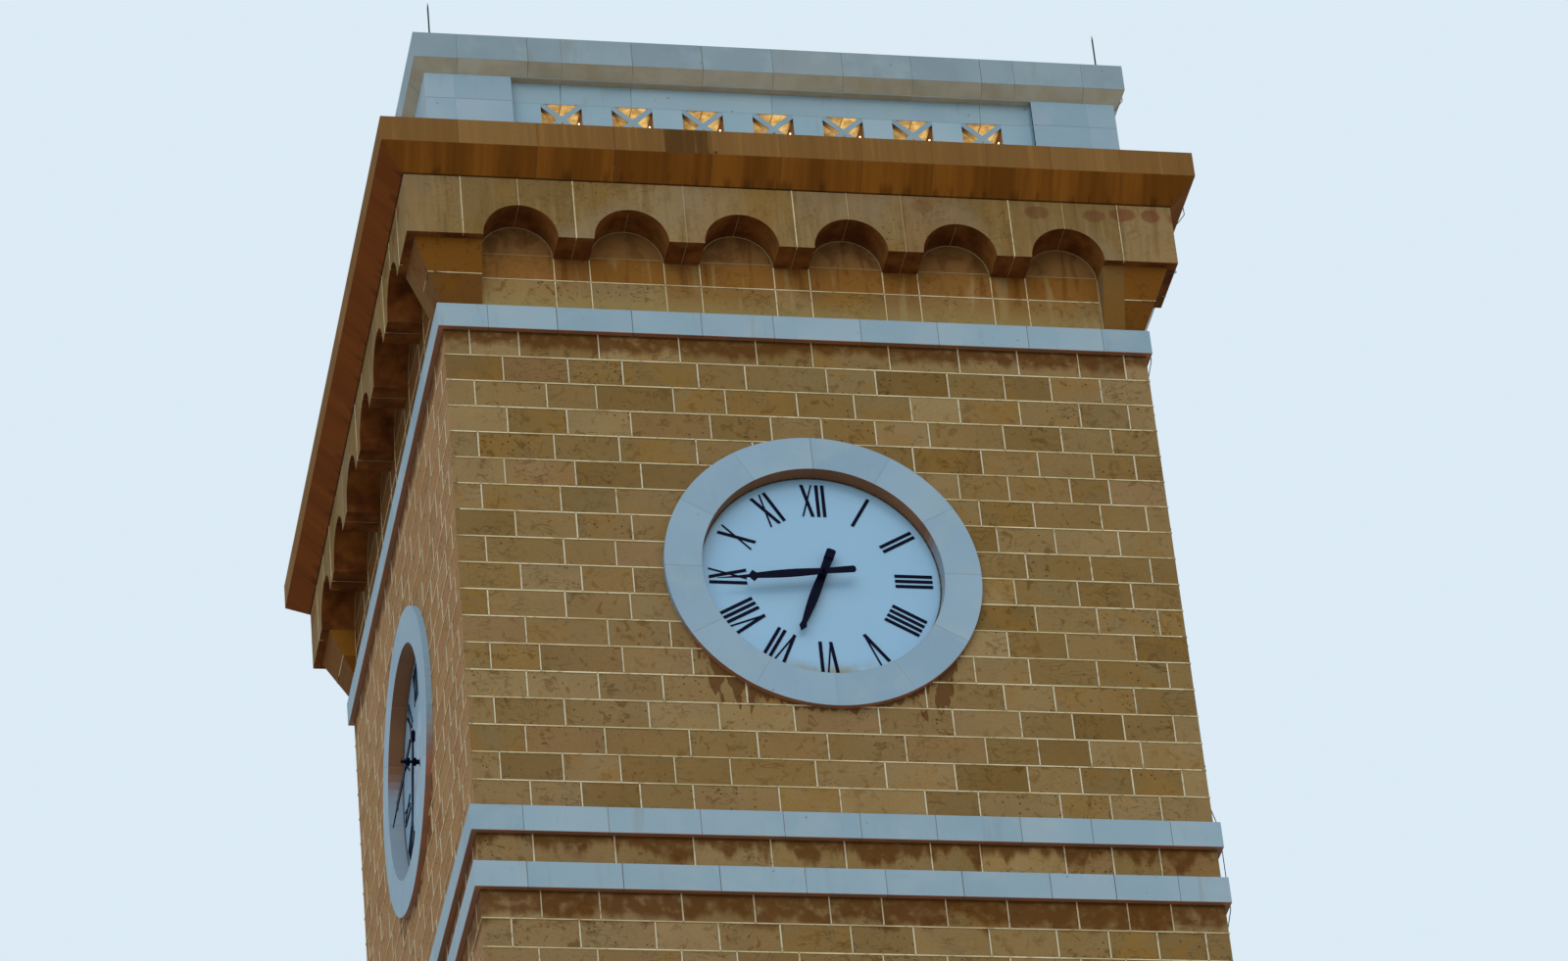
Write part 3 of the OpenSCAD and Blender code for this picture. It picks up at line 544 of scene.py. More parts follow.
def cornice_stone(name, soffit):
    """Brown stone of the cornice, streaked downwards by rain, each stone in its own tone. Its sloping splay that looks
    down is darker brown, partly stain and partly painted shade, redder on the left side as painted light, and a dark
    line in the crease at its foot is painted shade.
    """
    finish = Finish(name, Specular_IOR_Level=0.05)
    tone = finish.tone()
    above = finish.along(UP) - FRIEZE_TOP
    normal = finish.add("NewGeometry", {}, {}, "Normal")
    level_back = finish.vector("MULTIPLY_ADD", normal, finish.facing(UP) * above * 2.0, finish.place)
    place = finish.vector("MULTIPLY_ADD", tone, (37.0, 19.0, 53.0), level_back)
    upright = finish.drawn_out(0.04, place)
    streak = finish.noise(22, 4, upright)
    wide = finish.noise(3.5, 3, upright)
    grain = finish.noise(85)
    stops = [(0.0, "#523a1c"), (0.07, "#64472a"), (0.15, "#6e502b"), (0.8, "#765730"), (1.0, "#7d613a")]
    base = finish.add("ValToRGB", {"stops": stops}, {"Fac": tone})
    chips = finish.specks(5, 0.10, place) * finish.noise(1.5, 1, place).between(0.5, 0.56)
    # The splay that looks down: darker brown, partly stain and partly painted shade, redder on the left side as painted
    # light.
    dark = finish.brighten(finish.mix(wide.between(0.35, 0.65), soffit, "#86541c"), 0.68 + streak * 0.64)
    dark = finish.mix(finish.facing(OUTWARD[3]).between(0.4, 0.7) * 0.6, dark, "#6a3319")
    drips = finish.noise(9, 3, finish.drawn_out(0.1, level_back)).between(0.54, 0.62)
    base = finish.layers(
        finish.brighten(base, 0.68 + streak * 0.34 + wide * 0.24 + grain * 0.06),
        (streak.between(0.52, 0.70) * wide.between(0.4, 0.6) * 0.45, "#87683a"), (chips * 0.8, "#2c1a0a"),
        (finish.facing(UP).between(-0.2, -0.6), dark), (above.between(0.09, 0.02) * drips * 0.45, "#2e1b08"),
        # A dark line in the crease along the foot of the splay: painted shade.
        (above.between(0.014, 0.005) * 0.8, "#221405"))
    return finish.done(base, 0.8 + grain * 0.15, grain * 0.4 + streak * 0.8 + finish.noise(20, 3, place), 0.003)


def dial_glass(side):
    """Opal dial: pale, glossy, with a little yellow dirt along its foot."""
    finish = Finish(f"opal_dial_{SIDE_NAMES[side]}", Specular_IOR_Level=0.5)
    across = finish.along(RIGHTWARD[side])
    level = finish.along(UP) - DIAL_Z
    from_centre = (across * across + level * level).math("SQRT")
    foot = from_centre.between(0.80, 0.93) * abs(across).between(0.5, 0.1) * level.between(-0.3, -0.7)
    rim = from_centre.between(0.95, 1.005) * (0.3 + finish.noise(8, 3) * 0.5)
    base = finish.layers(
        "#81aed0", (finish.noise(1.6, 3), "#8ab5d4"),
        (foot * finish.noise(6, 4).between(0.25, 0.6) * 0.9, "#80805a"), (rim * 0.6, "#7f8f93"))
    return finish.done(base, 0.12 + finish.noise(12, 3) * 0.14, finish.noise(2.5, 1), 0.002, 0.15)


def black_enamel():
    """Blue-black paint of the hands and numerals, dulled by dust."""
    finish = Finish("black_enamel", Specular_IOR_Level=0.05)
    dust = finish.noise(24, 4)
    base = finish.mix(dust.between(0.45, 0.8) * 0.5, "#05051c", "#0f132c")
    return finish.done(base, 0.42 + dust * 0.25, dust, 0.0008, 0.3)


def dull_metal(name, first, second):
    """Weathered metal with darker patches."""
    finish = Finish(name, Metallic=0.25, Specular_IOR_Level=0.1)
    patch = finish.noise(35, 4)
    base = finish.mix(patch.between(0.35, 0.65), first, second)
    return finish.done(base, 0.45 + patch * 0.3, patch, 0.0006, 0.3)


def paving(name):
    """Worn square paving in two greys."""
    finish = Finish(name, Specular_IOR_Level=0.25)
    tile = 0.45
    rows = [finish.along(axis) / tile for axis in ((1, 0, 0), (0, 1, 0))]
    edge = rows[0].math("FRACT").between(0.03, 0.015).math("MAXIMUM", rows[1].math("FRACT").between(0.03, 0.015))
    which = finish.add("CombineXYZ", {}, {"X": rows[0].math("FLOOR"), "Y": rows[1].math("FLOOR")})
    each = finish.add("TexWhiteNoise", {"noise_dimensions": "2D"}, {"Vector": which})
    base = finish.brighten(finish.mix(finish.noise(5, 4), "#7f7a70", "#6a655c"), 0.85 + each * 0.25)
    base = finish.mix(edge, base, "#4b463d")
    return finish.done(base, 0.8 + finish.noise(40) * 0.15, finish.noise(25, 4) - edge, 0.004)


def lamp_glass():
    """Frosted glass of the small lamps, lit from inside."""
    finish = Finish("lamp_glass", Roughness=0.3, Emission_Strength=3.0)
    glow = finish.noise(60, 1)
    finish.feed(
        Base_Color=finish.mix(glow, "#ffe2b0", "#fff0cf"), Emission_Color=finish.mix(glow, "#ffe3b8", "#fff2da"))
    return finish.material


# Shapes

class Stonework:
    """A mesh that grows stone by stone. Each stone keeps a tone that its material reads."""

    def __init__(self):
        self.mesh = bmesh.new()
        self.tone = self.mesh.verts.layers.float.new("tone")

    def soften(self, verts, arris):
        edges = {edge for vert in verts for edge in vert.link_edges if len(edge.link_faces) == 2
                 and edge.calc_face_angle() > math.radians(25)}
        return bmesh.ops.bevel(self.mesh, geom=list(edges), offset=arris, offset_type="OFFSET", segments=1,
                               profile=0.5, affect="EDGES", material=-1)["verts"]

    def stone(self, side, foot, head, low, high, tone, arris=0.0):
        """A block whose foot and head are given as left, right, outer and inner distances."""
        verts = bmesh.ops.create_cube(self.mesh, size=1)["verts"]
        for vert in verts:
            left, right, outer, inner = head if vert.co.z > 0 else foot
            x = right if vert.co.x > 0 else left
            y = -inner if vert.co.y > 0 else -outer
            vert.co = TURN[side] @ Vector((x, y, high if vert.co.z > 0 else low))
        if arris:
            verts = self.soften(verts, arris)
        for vert in verts:
            vert[self.tone] = tone

    def block(self, side, left, right, outer, inner, low, high, tone, arris=0.0):
        plan = (left, right, outer, inner)
        self.stone(side, plan, plan, low, high, tone, arris)

    def arc(self, side, centre, radii, depths, angles, steps, tone=0.5, arris=0.0):
        """A stone bent round a centre (x, z), between two radii, two distances out and two clock angles."""
        before = set(self.mesh.verts)
        start, end = (math.radians(angle) for angle in angles)
        corners = [(radii[0], depths[0]), (radii[1], depths[0]), (radii[1], depths[1]), (radii[0], depths[1])]
        verts = [self.mesh.verts.new((centre[0] + r * math.sin(start), -out, centre[1] + r * math.cos(start)))
                 for r, out in corners]
        face = self.mesh.faces.new(verts)
        bmesh.ops.spin(self.mesh, geom=[face, *face.edges, *face.verts], cent=(centre[0], 0, centre[1]),
                       axis=(0, 1, 0), dvec=(0, 0, 0), angle=end - start, steps=steps)
        made = [vert for vert in self.mesh.verts if vert not in before]
        bmesh.ops.recalc_face_normals(self.mesh, faces=list({f for vert in made for f in vert.link_faces}))
        bmesh.ops.transform(self.mesh, matrix=TURN[side], verts=made)
        if arris:
            self.soften(made, arris)
            made = [vert for vert in self.mesh.verts if vert not in before]
        for vert in made:
            vert[self.tone] = tone

    def finish(self, name, material, slot="white_limestone"):
        """Makes the piece, fixed to the tower."""
        mesh = bpy.data.meshes.new(name)
        self.mesh.to_mesh(mesh)
        self.mesh.free()
        mesh.materials.append(material)
        piece = in_scene(name, mesh)
        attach(piece, "tower")


class Opening:
    """A round opening in the wall that the courses stop at, behind the stones that frame it."""

    def __init__(self, sides, centre_z, bore, rim, jamb=False):
        self.sides, self.centre_z, self.bore, self.rim, self.jamb = sides, centre_z, bore, rim, jamb

    def half_width(self, low, high):
        """Where a course between two heights stops, measured from the middle of the side, or None."""
        near, far = sorted((abs(low - self.centre_z), abs(high - self.centre_z)))
        if low < self.centre_z < high:
            near = 0
        if self.jamb and high <= self.centre_z:
            near = far = 0
        if near >= self.bore:
            return None
        least = math.sqrt(self.bore ** 2 - near ** 2)
        most = math.sqrt(max(self.rim ** 2 - far ** 2, 0))
        return max((least + most) / 2, least)


def joints(rng, left, right, lengths, shunned=()):
    """Places of the joints between two ends, clear of the joints of the course below."""
    places = [left]
    while right - places[-1] > lengths[1] + 0.02:
        for _ in range(10):
            place = places[-1] + rng.uniform(*lengths)
            if all(abs(place - other) > BOND for other in shunned):
                break
        if right - place < SHORTEST:
            place = (places[-1] + right) / 2
        places.append(place)
    return places + [right]


def stretches(opening, side, low, high, left, right):
    """The parts of a course that an opening leaves."""
    cut = opening.half_width(low, high) if opening and side in opening.sides else None
    return [(left, right)] if cut is None else [(left, -cut), (cut, right)]


def lay_courses(name, low, high, seed, depth=0.14, spread=0.25, opening=None, ring_stain=False):
    """Courses of sandstone blocks all round the shaft, with quoins at the corners and raised pointing."""
    rng = random.Random(seed)
    stones, ribbons = Stonework(), Stonework()
    face, edge = SHAFT + BLOCK_OUT, SHAFT + RIBBON_OUT
    count = round((high - low) / COURSE)
    rise = (high - low) / count
    below = [[] for _ in SIDES]
    for course in range(count):
        foot = low + course * rise
        head = foot + rise
        ends = [(rng.uniform(*QUOIN_LONG), rng.uniform(*QUOIN_SHORT)) for _ in SIDES]
        ends = [pair if (side + course) % 2 == 0 else pair[::-1] for side, pair in zip(SIDES, ends)]
        right_ends, left_ends = ([SHAFT - pair[n] for pair in ends] for n in range(2))
        for side in SIDES:
            stones.block(side, right_ends[side], face, face, left_ends[side], foot, head, rng.betavariate(2, 2))
            left, right = -left_ends[side - 1], right_ends[side]
            lines = []
            for start, end in stretches(opening, side, foot, head, left, right):
                places = joints(rng, start, end, BLOCK_LENGTHS, below[side])
                lines += places
                for a, b in pairwise(places):
                    out = face + rng.uniform(-0.0015, 0.001)
                    stones.block(side, a, b, out, BEHIND, foot, head, rng.betavariate(2, 2))
            for x in lines:
                wide = rng.uniform(0.85, 1.15) * RIBBON_W / 2
                ribbons.block(side, x - wide, x + wide, edge, BEHIND, foot, head, 0.85)
            wide = rng.uniform(0.9, 1.15) * RIBBON_W / 2
            if course < count - 1:
                for start, end in stretches(opening, side, head, head, -edge, edge):
                    ribbons.block(side, start, end, edge, BEHIND, head - wide, head + wide, 0.5)
            below[side] = lines
    stones.finish(f"{name}_blocks", sandstone(f"{name}_sandstone", high, depth, spread, ring_stain), "sandstone")
    ribbons.finish(f"{name}_pointing", ribbon_mortar(f"{name}_mortar", high, depth), "sandstone")


def joint_gap(rng):
    """Half the width of a joint between dressed stones: most are tight, some have opened."""
    return (OPEN_JOINT if rng.random() < 0.2 else TIGHT_JOINT) / 2


def dressed_course(stones, rng, foot_half, head_half, inner, low, high, lengths, start, skip=None, arris=ARRIS):
    """A course of dressed stones all round, with their least and most length or the places of all joints.

    The corner stones begin at a distance from the middle of a side, and a doorway's stones are skipped.
    """
    tones = random.Random(rng.random())
    for side in SIDES:
        stones.stone(side, (start, foot_half, foot_half, start), (start, head_half, head_half, start),
                     low, high, tones.random(), arris)
        for begin, end in ([(-start, -skip), (skip, start)] if skip and side == 0 else [(-start, start)]):
            places = lengths if isinstance(lengths, list) else joints(rng, begin, end, lengths)
            for a, b in pairwise(places):
                a, b = a + joint_gap(rng), b - joint_gap(rng)
                stones.stone(side, (a, b, foot_half, inner), (a, b, head_half, inner), low, high, tones.random(), arris)


def lay_bands(material):
    rng = random.Random(11)
    stones = Stonework()
    for number in range(1, 8):
        low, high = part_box(f"band_{number}")
        outer = BAND + FACING
        dressed_course(
            stones, rng, outer, outer, BEHIND, low.z - FACING, high.z + FACING, (0.58, 0.80), outer - 0.42, arris=0.003)
    stones.finish("band_stones", material)


def lay_plinth(material):
    rng = random.Random(12)
    stones = Stonework()
    outer = PLINTH + FACING
    top = PLINTH_TOP - 0.05
    levels = (0, top / 2, top, PLINTH_TOP + FACING)
    for low, high, lean, corner in zip(levels, levels[1:], (0, 0, 0.05), (0.6, 0.4, 0.55)):
        dressed_course(
            stones, rng, outer, outer - lean, BEHIND, low, high, (0.7, 1.0), outer - corner, skip=DOOR_STONE_R)
    stones.finish("plinth_stones", material)


def lay_door_stones(material):
    """Jamb stones and arch stones round the doorway."""
    rng = random.Random(13)
    stones = Stonework()
    outer = -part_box("door_surround")[0].y + FACING
    inner = SHAFT - WALL - FACING
    courses = 5
    rise = DOOR_SPRING / courses
    for course in range(courses):
        for left, right in ((-DOOR_STONE_R, -DOOR_R), (DOOR_R, DOOR_STONE_R)):
            stones.block(0, left - FACING, right + FACING, outer, inner, course * rise,
                         (course + 1) * rise - TIGHT_JOINT, rng.random(), ARRIS)
    arch_stones = 9
    step = 180 / arch_stones
    for n in range(arch_stones):
        stones.arc(0, (0, DOOR_SPRING), (DOOR_R - FACING, DOOR_STONE_R + FACING), (inner, outer),
                   (-90 + n * step + 0.15, -90 + (n + 1) * step - 0.15), 5, rng.random(), ARRIS)
    stones.finish("door_stones", material)


def lay_dial_rings(material):
    """Twelve stones in the ring round each dial, with joints at the hours."""
    rng = random.Random(14)
    stones = Stonework()
    for side in SIDES:
        gaps = [0.10] + 11 * [0.01] + [0.10]
        for hour in range(12):
            angles = (30 * hour + gaps[hour], 30 * hour + 30 - gaps[hour + 1])
            stones.arc(side, (0, DIAL_Z), (RING_BORE - FACING, RING_R + FACING),
                       (DIAL_FACE + 0.002, RING_FACE + FACING), angles, 8, rng.random(), ARRIS / 2)
    stones.finish("dial_ring_stones", material)


def seal_dials(material):
    """A bead of sealant round the edge of each dial."""
    beads = Stonework()
    for side in SIDES:
        beads.arc(
            side, (0, DIAL_Z), (RING_BORE - 0.014, RING_BORE), (DIAL_FACE - 0.01, DIAL_FACE + 0.006), (0, 359.9), 90)
    beads.finish("dial_beads", material)


def lay_niche(material, mortar):
    """The wall behind the arches: stones as wide as the arches and the pendants, in two courses."""
    rng = random.Random(15)
    stones, ribbons = Stonework(), Stonework()
    levels = (NICHE_FOOT, NICHE_FOOT + NICHE_LEVELS[0], NICHE_FOOT + NICHE_LEVELS[1], FRIEZE_TOP)
    edges = [x + shift for x in ARCH_X for shift in (-ARCH_R, ARCH_R)]
    out, edge = SHAFT + 0.003, SHAFT + 0.007
    for side in SIDES:
        for low, high in pairwise(levels):
            for a, b in pairwise(edges):
                stones.block(side, a, b, out, BEHIND, low, high, rng.betavariate(2, 2))
        for x in edges:
            ribbons.block(side, x - 0.0045, x + 0.0045, edge, BEHIND, NICHE_FOOT, FRIEZE_FOOT + 0.01, 0.5)
        for level, wide, tone in zip(levels[1:3], (0.0045, 0.003), (0.55, 0.1)):
            ribbons.block(side, edges[0], edges[-1], edge, BEHIND, level - wide, level + wide, tone)
        for x in ARCH_X:
            ribbons.arc(
                side, (x, FRIEZE_FOOT), (ARCH_R - 0.007, ARCH_R), (SHAFT - 0.01, SHAFT + 0.007), (-90, 90), 20, 0.15)
    stones.finish("niche_blocks", material, "sandstone")
    ribbons.finish("niche_pointing", mortar, "sandstone")


def point_frieze(mortar):
    """Raised pointing on the joints of the frieze: thin over each arch, and wider over each pendant."""
    ribbons = Stonework()
    out = FRIEZE + 0.004
    pendants = [(a + b) / 2 for a, b in pairwise(ARCH_X)]
    kinds = (
        (ARCH_X, 0.0017, FRIEZE_FOOT + ARCH_R, (0.5, 0.1, 0.1, 0.5, 0.1, 0.5)),
        (pendants, 0.005, FRIEZE_FOOT, (0.6, 0.1, 0.6, 0.0, 0.6)),
        ((-CORNER_JOINT, CORNER_JOINT), 0.003, FRIEZE_FOOT, (0.5, 0.5)))
    for side in SIDES:
        for places, wide, foot, tones in kinds:
            for x, tone in zip(places, tones):
                ribbons.block(side, x - wide, x + wide, out, FRIEZE - SINK, foot - 0.003, FRIEZE_TOP, tone)
                if abs(x) < CORNER_JOINT:
                    ribbons.block(side, x - 0.002, x + 0.002, out - 0.004, SHAFT, foot - 0.003, foot + 0.01, 0.1)
        ribbons.block(
            side, -FRIEZE, -CORNER_JOINT, FRIEZE + 0.002, FRIEZE - SINK, FRIEZE_FOOT + 0.294, FRIEZE_FOOT + 0.297, 0.0)
    ribbons.finish("frieze_pointing", mortar, "sandstone")


def lay_brackets(material, mortar):
    """Two courses on each tapered corner bracket, with a pale narrow stone beside its right end."""
    rng = random.Random(16)
    stones, ribbons = Stonework(), Stonework()
    start = FRIEZE - CORNER_BLOCK
    near = start - FACING
    levels = (NICHE_FOOT, NICHE_FOOT + BRACKET_JOINT, FRIEZE_FOOT)
    foot, middle, head = (BRACKET_FOOT + (BRACKET_TOP - BRACKET_FOOT) * (level - NICHE_FOOT)
                          / (FRIEZE_FOOT - NICHE_FOOT) + FACING for level in levels)
    edge = middle + 0.004
    courses = ((*levels[:2], foot, middle, (0.05, 0.25)), (*levels[1:], middle, head, (0.45, 0.65)))
    for side in SIDES:
        for low, high, a, b, tones in courses:
            stones.stone(side, (BRACKET_STRIP, a, a, near), (BRACKET_STRIP, b, b, near), low, high, rng.uniform(*tones))
            stones.stone(side, (near, BRACKET_STRIP, a, BEHIND), (near, BRACKET_STRIP, b, BEHIND), low, high, 0.93)
        for left, right in ((BRACKET_STRIP, edge), (-edge, -start)):
            ribbons.block(side, left, right, edge, SHAFT, levels[1] - 0.004, levels[1] + 0.004, 0.5)
    stones.finish("bracket_blocks", material, "sandstone")
    ribbons.finish("bracket_pointing", mortar, "sandstone")


def lay_cornice(material):
    """Stones of the cornice. The joints of the sloping ones run on through the upright face."""
    stones = Stonework()
    splay_top = FRIEZE_TOP + SPLAY
    edge = CORNICE + FACING
    for foot_half, back, low, high in (
            (FRIEZE + FACING, SHAFT, FRIEZE_TOP, splay_top), (edge, ROOM - FACING, splay_top, CORNICE_TOP + FACING)):
        dressed_course(
            stones, random.Random(1867), foot_half, edge, back, low, high, CORNICE_JOINTS, CORNICE_JOINTS[-1])
    stones.finish("cornice_stones", material, "stained_limestone")


def lay_coping(material, bed):
    """Joints over the middle of each opening, through the slope and the upright face, and a thin bed under them, whose
    face that looks down is painted pale as bounced light in the recess under the coping.
    """
    rng = random.Random(18)
    stones = Stonework()
    edge = COPING_FOOT + COPING_SLOPE
    out = COPING + FACING
    places = [-2.75, -2.14, *HOLE_X, 2.14, 2.75]
    for foot_half, inner, low, high in (
            (PIER + FACING, SHAFT - 0.2, COPING_FOOT - FACING, edge),
            (out, COPING - COPING_W - FACING, edge, COPING_TOP + FACING)):
        dressed_course(stones, rng, foot_half, out, inner, low, high, places, places[-1])
    stones.finish("coping_stones", material)
    end = PIER - PIER_W
    beds = Stonework()
    for side in SIDES:
        for a, b in zip([-end] + places[1:], places[1:-1] + [end]):
            beds.block(side, a, b, PIER, PANEL_FACE - SINK, COPING_FOOT - 0.006, COPING_FOOT - FACING, rng.random())
    beds.finish("coping_beds", bed)


def lay_piers(material):
    """Stones on the outer faces of the corner piers, in courses under the coping."""
    rng = random.Random(19)
    stones = Stonework()
    face = PIER + FACING
    start = PIER - PIER_JOINT
    end = PIER - PIER_W
    levels = [CORNICE_TOP] + [COPING_FOOT - down for down in PIER_COURSES]
    for side in SIDES:
        for low, high in pairwise(levels):
            top = high - TIGHT_JOINT
            stones.block(side, start, face, face, start, low, top, rng.random(), ARRIS)
            for left, right in ((end, start - TIGHT_JOINT), (-start + TIGHT_JOINT, -end)):
                stones.block(side, left, right, face, PIER - SINK, low, top, rng.random(), ARRIS)
    stones.finish("pier_stones", material)


def face_panels(material):
    """Thin courses on the pierced panels: sill stones, posts between the openings and lintels."""
    rng = random.Random(20)
    stones = Stonework()
    face = PANEL_FACE + FACING
    end = PIER - PIER_W
    back = PANEL_FACE - 0.02
    sill = HOLE_FOOT - TIGHT_JOINT
    lintel = HOLE_FOOT + HOLE_H
    post_edges = [-end] + [x + shift for x in HOLE_X for shift in (-HOLE_W / 2, HOLE_W / 2)] + [end]
    lintel_joints = [-end] + [HOLE_X[n] for n in (0, 1, 3, 6)] + [end]
    for side in SIDES:
        for low, high, lean, places in (
                (CORNICE_TOP, sill, 0, joints(rng, -end, end, (0.6, 0.9))),
                (lintel + TIGHT_JOINT, COPING_FOOT, LINTEL_LEAN, lintel_joints)):
            for a, b in pairwise(places):
                a, b = a + joint_gap(rng), b - joint_gap(rng)
                stones.stone(side, (a, b, face, back), (a, b, face + lean, back), low, high, rng.random())
        for a, b in zip(post_edges[::2], post_edges[1::2]):
            stones.block(side, a, b, face, back, sill, lintel, rng.random())
    stones.finish("panel_facing", material)


def fit_lamps(housing, glass):
    """A small lamp on the right jamb of each opening in the parapet."""
    bodies, lights = Stonework(), Stonework()
    for side in SIDES:
        for x in HOLE_X:
            middle = x + LAMP_ASIDE
            jamb = x + HOLE_W / 2
            bodies.block(side, middle, jamb, LAMP_OUT - 0.012, LAMP_OUT - 0.024, LAMP_Z - 0.004, LAMP_Z + 0.004, 0.5)
            bodies.arc(side, (middle, LAMP_Z), (0.001, 0.009), (LAMP_OUT - 0.040, LAMP_OUT - 0.003), (0, 359.9), 12)
            lights.arc(side, (middle, LAMP_Z), (0.0005, 0.007), (LAMP_OUT - 0.002, LAMP_OUT + 0.005), (0, 359.9), 12)
    bodies.finish("lamp_housings", housing, "weathered_steel")
    lights.finish("lamp_glasses", glass, "opal_glass")


# Camera, at eye height on the ground in front and to the left

CAMERA_PLACE = Vector((-10.268, -44.478, 1.775))
CAMERA_AZIMUTH = math.radians(13.586)
CAMERA_ELEVATION = math.radians(34.693)
CAMERA_ROLL = math.radians(-5.832)
CAMERA_LENS = 144.476


def place_camera():
    level = math.cos(CAMERA_ELEVATION)
    ahead = Vector((math.sin(CAMERA_AZIMUTH) * level, math.cos(CAMERA_AZIMUTH) * level, math.sin(CAMERA_ELEVATION)))
    across = Vector((math.cos(CAMERA_AZIMUTH), -math.sin(CAMERA_AZIMUTH), 0))
    upward = across.cross(ahead)
    right = across * math.cos(CAMERA_ROLL) + upward * math.sin(CAMERA_ROLL)
    up = upward * math.cos(CAMERA_ROLL) - across * math.sin(CAMERA_ROLL)
    lens = bpy.data.cameras.new("camera")
    lens.sensor_width = 36
    lens.lens = CAMERA_LENS
    lens.clip_end = 2000
    camera = bpy.context.scene.camera = in_scene("camera", lens)
    camera.matrix_world = Matrix.Translation(CAMERA_PLACE) @ Matrix((right, up, -ahead)).transposed().to_4x4()


BACKDROP = "#dcebf5"


def new_nodes(tree, *kinds):
    return [tree.nodes.new("ShaderNode" + kind) for kind in kinds]


def link(tree, *pairs):
    for output, socket in pairs:
        tree.links.new(output, socket)


def light_scene():
    """Soft daylight from above and from the front left, and a pale backdrop that only the camera sees."""
    sun = bpy.data.lights.new("sun", "SUN")
    sun.energy = 1.1
    sun.angle = math.radians(60)
    in_scene("sun", sun).rotation_euler = (math.radians(62), 0, math.radians(-24))

    world = bpy.context.scene.world = bpy.data.worlds.new("studio")
    world.use_nodes = True
    tree = world.node_tree
    tree.nodes.clear()
    place, split, ramp, sky, plain, choose, output = new_nodes(
        tree, "TexCoord", "SeparateXYZ", "ValToRGB", "Background", "Background", "MixShader", "OutputWorld")
    for element, position, grey in zip(ramp.color_ramp.elements, (0, 0.7), (0.75, 0.85)):
        element.position = position
        element.color = (grey, grey, grey, 1)
    plain.inputs["Color"].default_value = colour(BACKDROP)
    link(tree, (place.outputs["Generated"], split.inputs[0]), (split.outputs["Z"], ramp.inputs["Fac"]),
         (ramp.outputs["Color"], sky.inputs["Color"]), (seen_directly(tree), choose.inputs[0]),
         (sky.outputs[0], choose.inputs[1]), (plain.outputs[0], choose.inputs[2]),
         (choose.outputs[0], output.inputs["Surface"]))


def seen_directly(tree):
    """1 for rays that the camera sees directly, in a reflection or through glass."""
    rays = new_nodes(tree, "LightPath")[0].outputs
    seen = rays["Is Camera Ray"]
    for name in ("Is Glossy Ray", "Is Transmission Ray"):
        either, = new_nodes(tree, "Math")
        either.operation = "MAXIMUM"
        link(tree, (seen, either.inputs[0]), (rays[name], either.inputs[1]))
        seen = either.outputs[0]
    return seen


def lay_floor():
    """A plain pale floor. It looks pale, and throws little light back up at the tower."""
    shape = bmesh.new()
    bmesh.ops.create_circle(shape, cap_ends=True, segments=96, radius=600)
    mesh = bpy.data.meshes.new("floor")
    shape.to_mesh(mesh)
    shape.free()
    material = bpy.data.materials.new("floor")
    material.use_nodes = True
    tree = material.node_tree
    tree.nodes.clear()
    pale, dim, choose, output = new_nodes(tree, "BsdfDiffuse", "BsdfDiffuse", "MixShader", "OutputMaterial")
    pale.inputs["Color"].default_value = colour(BACKDROP)
    dim.inputs["Color"].default_value = (0.42, 0.40, 0.36, 1)
    link(tree, (seen_directly(tree), choose.inputs[0]), (dim.outputs[0], choose.inputs[1]),
         (pale.outputs[0], choose.inputs[2]), (choose.outputs[0], output.inputs["Surface"]))
    mesh.materials.append(material)
    floor = in_scene("floor", mesh)
    floor.location.z = -0.002


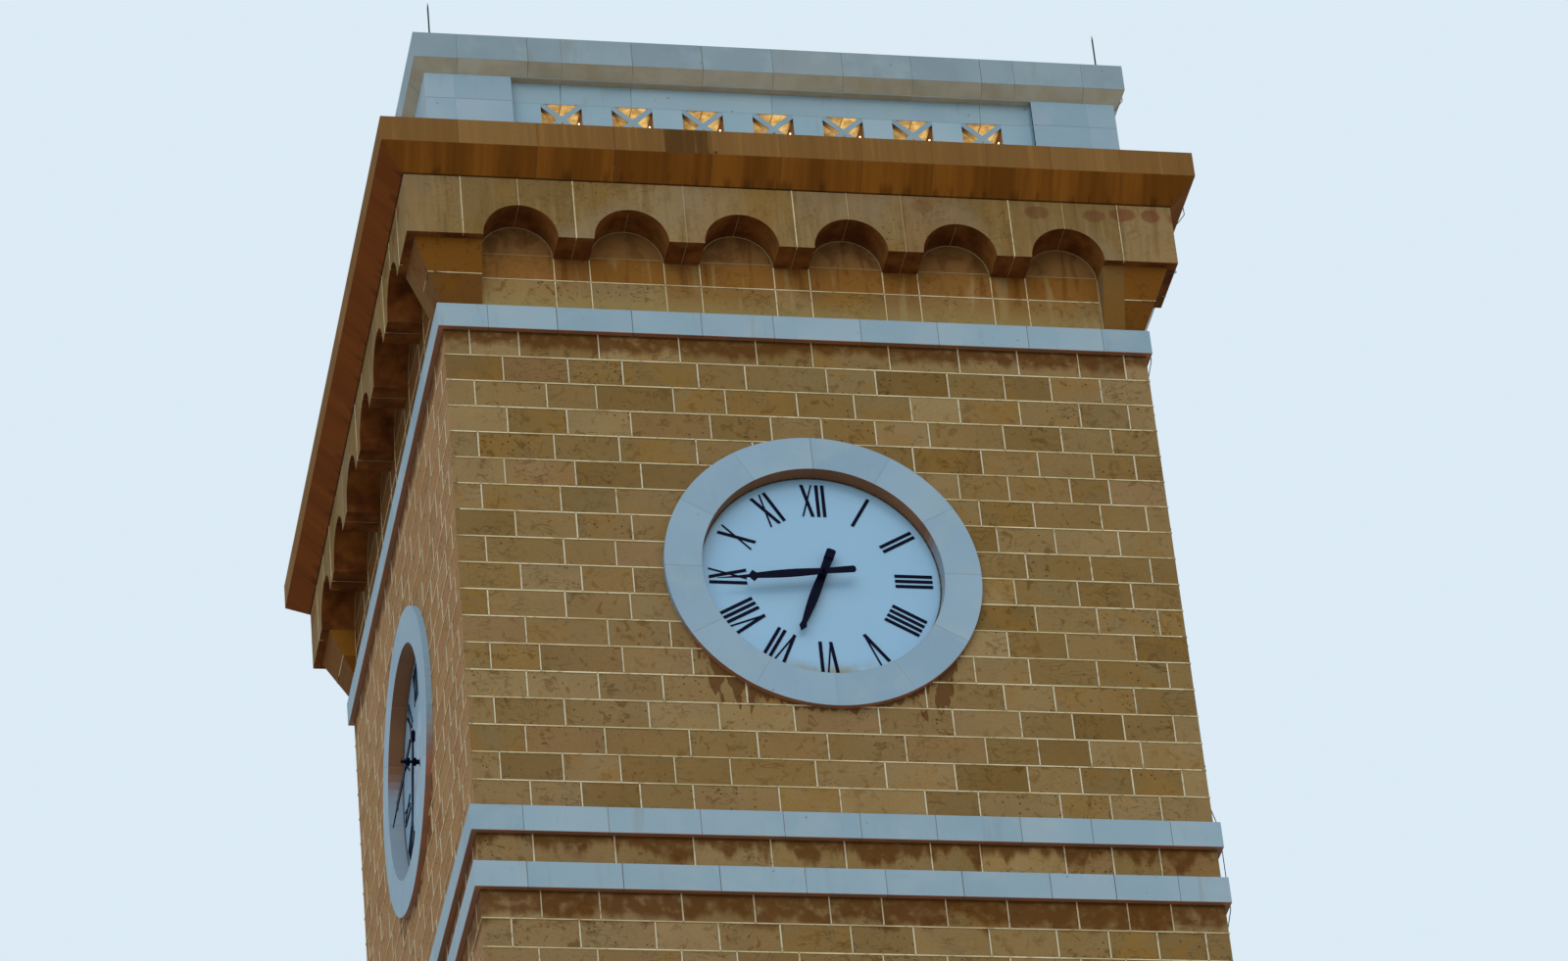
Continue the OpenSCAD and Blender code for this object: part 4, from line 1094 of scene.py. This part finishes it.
def build_tower():
    white = white_stone("white_stone").material
    # The coping's sloping face that looks down, and the bed under it, are painted pale tan: painted bounced light where
    # shade would fall.
    tan = white_stone("coping_stone", "#778d99", "#8097a2", "#a7a493", 0.4, 0.6, dirt="#938869").material
    coping_bed_painted_light = white_stone("coping_bed_stone", soffit="#c9bda2", dirt="#b3a27c").material
    panel = white_stone("panel_stone", "#88a9bb", "#94afbd").material
    ring_stone = white_stone("ring_stone", "#7c9cb2", "#85a2b6", runs=0.05, inside=ring_reveal_shading).material
    mortar = ribbon_mortar("pale_pointing")
    bed = bed_mortar("bed_mortar", "#6d5c3c")
    grey_bed = bed_mortar("grey_bed", "#656f73")
    brown_bed = bed_mortar("brown_bed", "#4a3216")
    cornice = cornice_stone("cornice_stone", "#6b4114")
    enamel = black_enamel()
    steel = dull_metal("weathered_steel", "#54524e", "#383735")
    dark_steel = dull_metal("rod_steel", "#2c3a3e", "#1c2427")

    ring = Opening(SIDES, DIAL_Z, RING_BORE, RING_R)
    door = Opening((0,), DOOR_SPRING, DOOR_R, DOOR_STONE_R, jamb=True)
    lay_courses("ground", PLINTH_TOP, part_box("band_1")[0].z, 21, 0.18, opening=door)
    for number in range(2, 6):
        low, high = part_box(f"storey_{number}_walls")
        lay_courses(f"storey_{number}", low.z, high.z, 21 + number, 0.27 if number == 5 else 0.18, 0.3)
    low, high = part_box("band_course")
    lay_courses("between_bands", low.z, high.z, 27, 0.17, 0.7)
    low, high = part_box("clock_wall_front")
    lay_courses("clock", low.z, high.z, 28, 0.17, 0.25, ring, True)

    lay_plinth(white)
    lay_door_stones(white)
    lay_bands(white)
    lay_dial_rings(ring_stone)
    seal_dials(steel)
    lay_niche(niche_stone(), mortar)
    lay_brackets(sandstone("bracket_sandstone", tones=BRACKET_TONES), mortar)
    point_frieze(mortar)
    lay_cornice(cornice)
    lay_piers(white)
    face_panels(panel)
    lay_coping(tan, coping_bed_painted_light)
    fit_lamps(steel, lamp_glass())

    pave = paving("paving")
    looks = {"band_course": bed, "corner_brackets": brown_bed, "cornice": brown_bed, "corner_piers": white,
             "numerals": enamel, "floor_slab": pave, "roof_deck": pave, "lightning_rods": dark_steel,
             "lightning_conductor": steel}
    for name, node in nodes.items():
        kind, _, side = name.rpartition("_")
        if kind in ("frieze", "parapet", "dial"):
            make = {"frieze": frieze_stone, "parapet": parapet_stone, "dial": dial_glass}[kind]
            look = make(SIDE_NAMES.index(side))
        elif "_hand_" in name:
            look = enamel
        elif "_wall" in name:
            look = bed
        else:
            look = looks.get(name, grey_bed)
        for slot in node.material_slots:
            slot.material = look


bpy.context.scene.view_settings.view_transform = "Standard"
place_camera()
light_scene()
lay_floor()
build_tower()
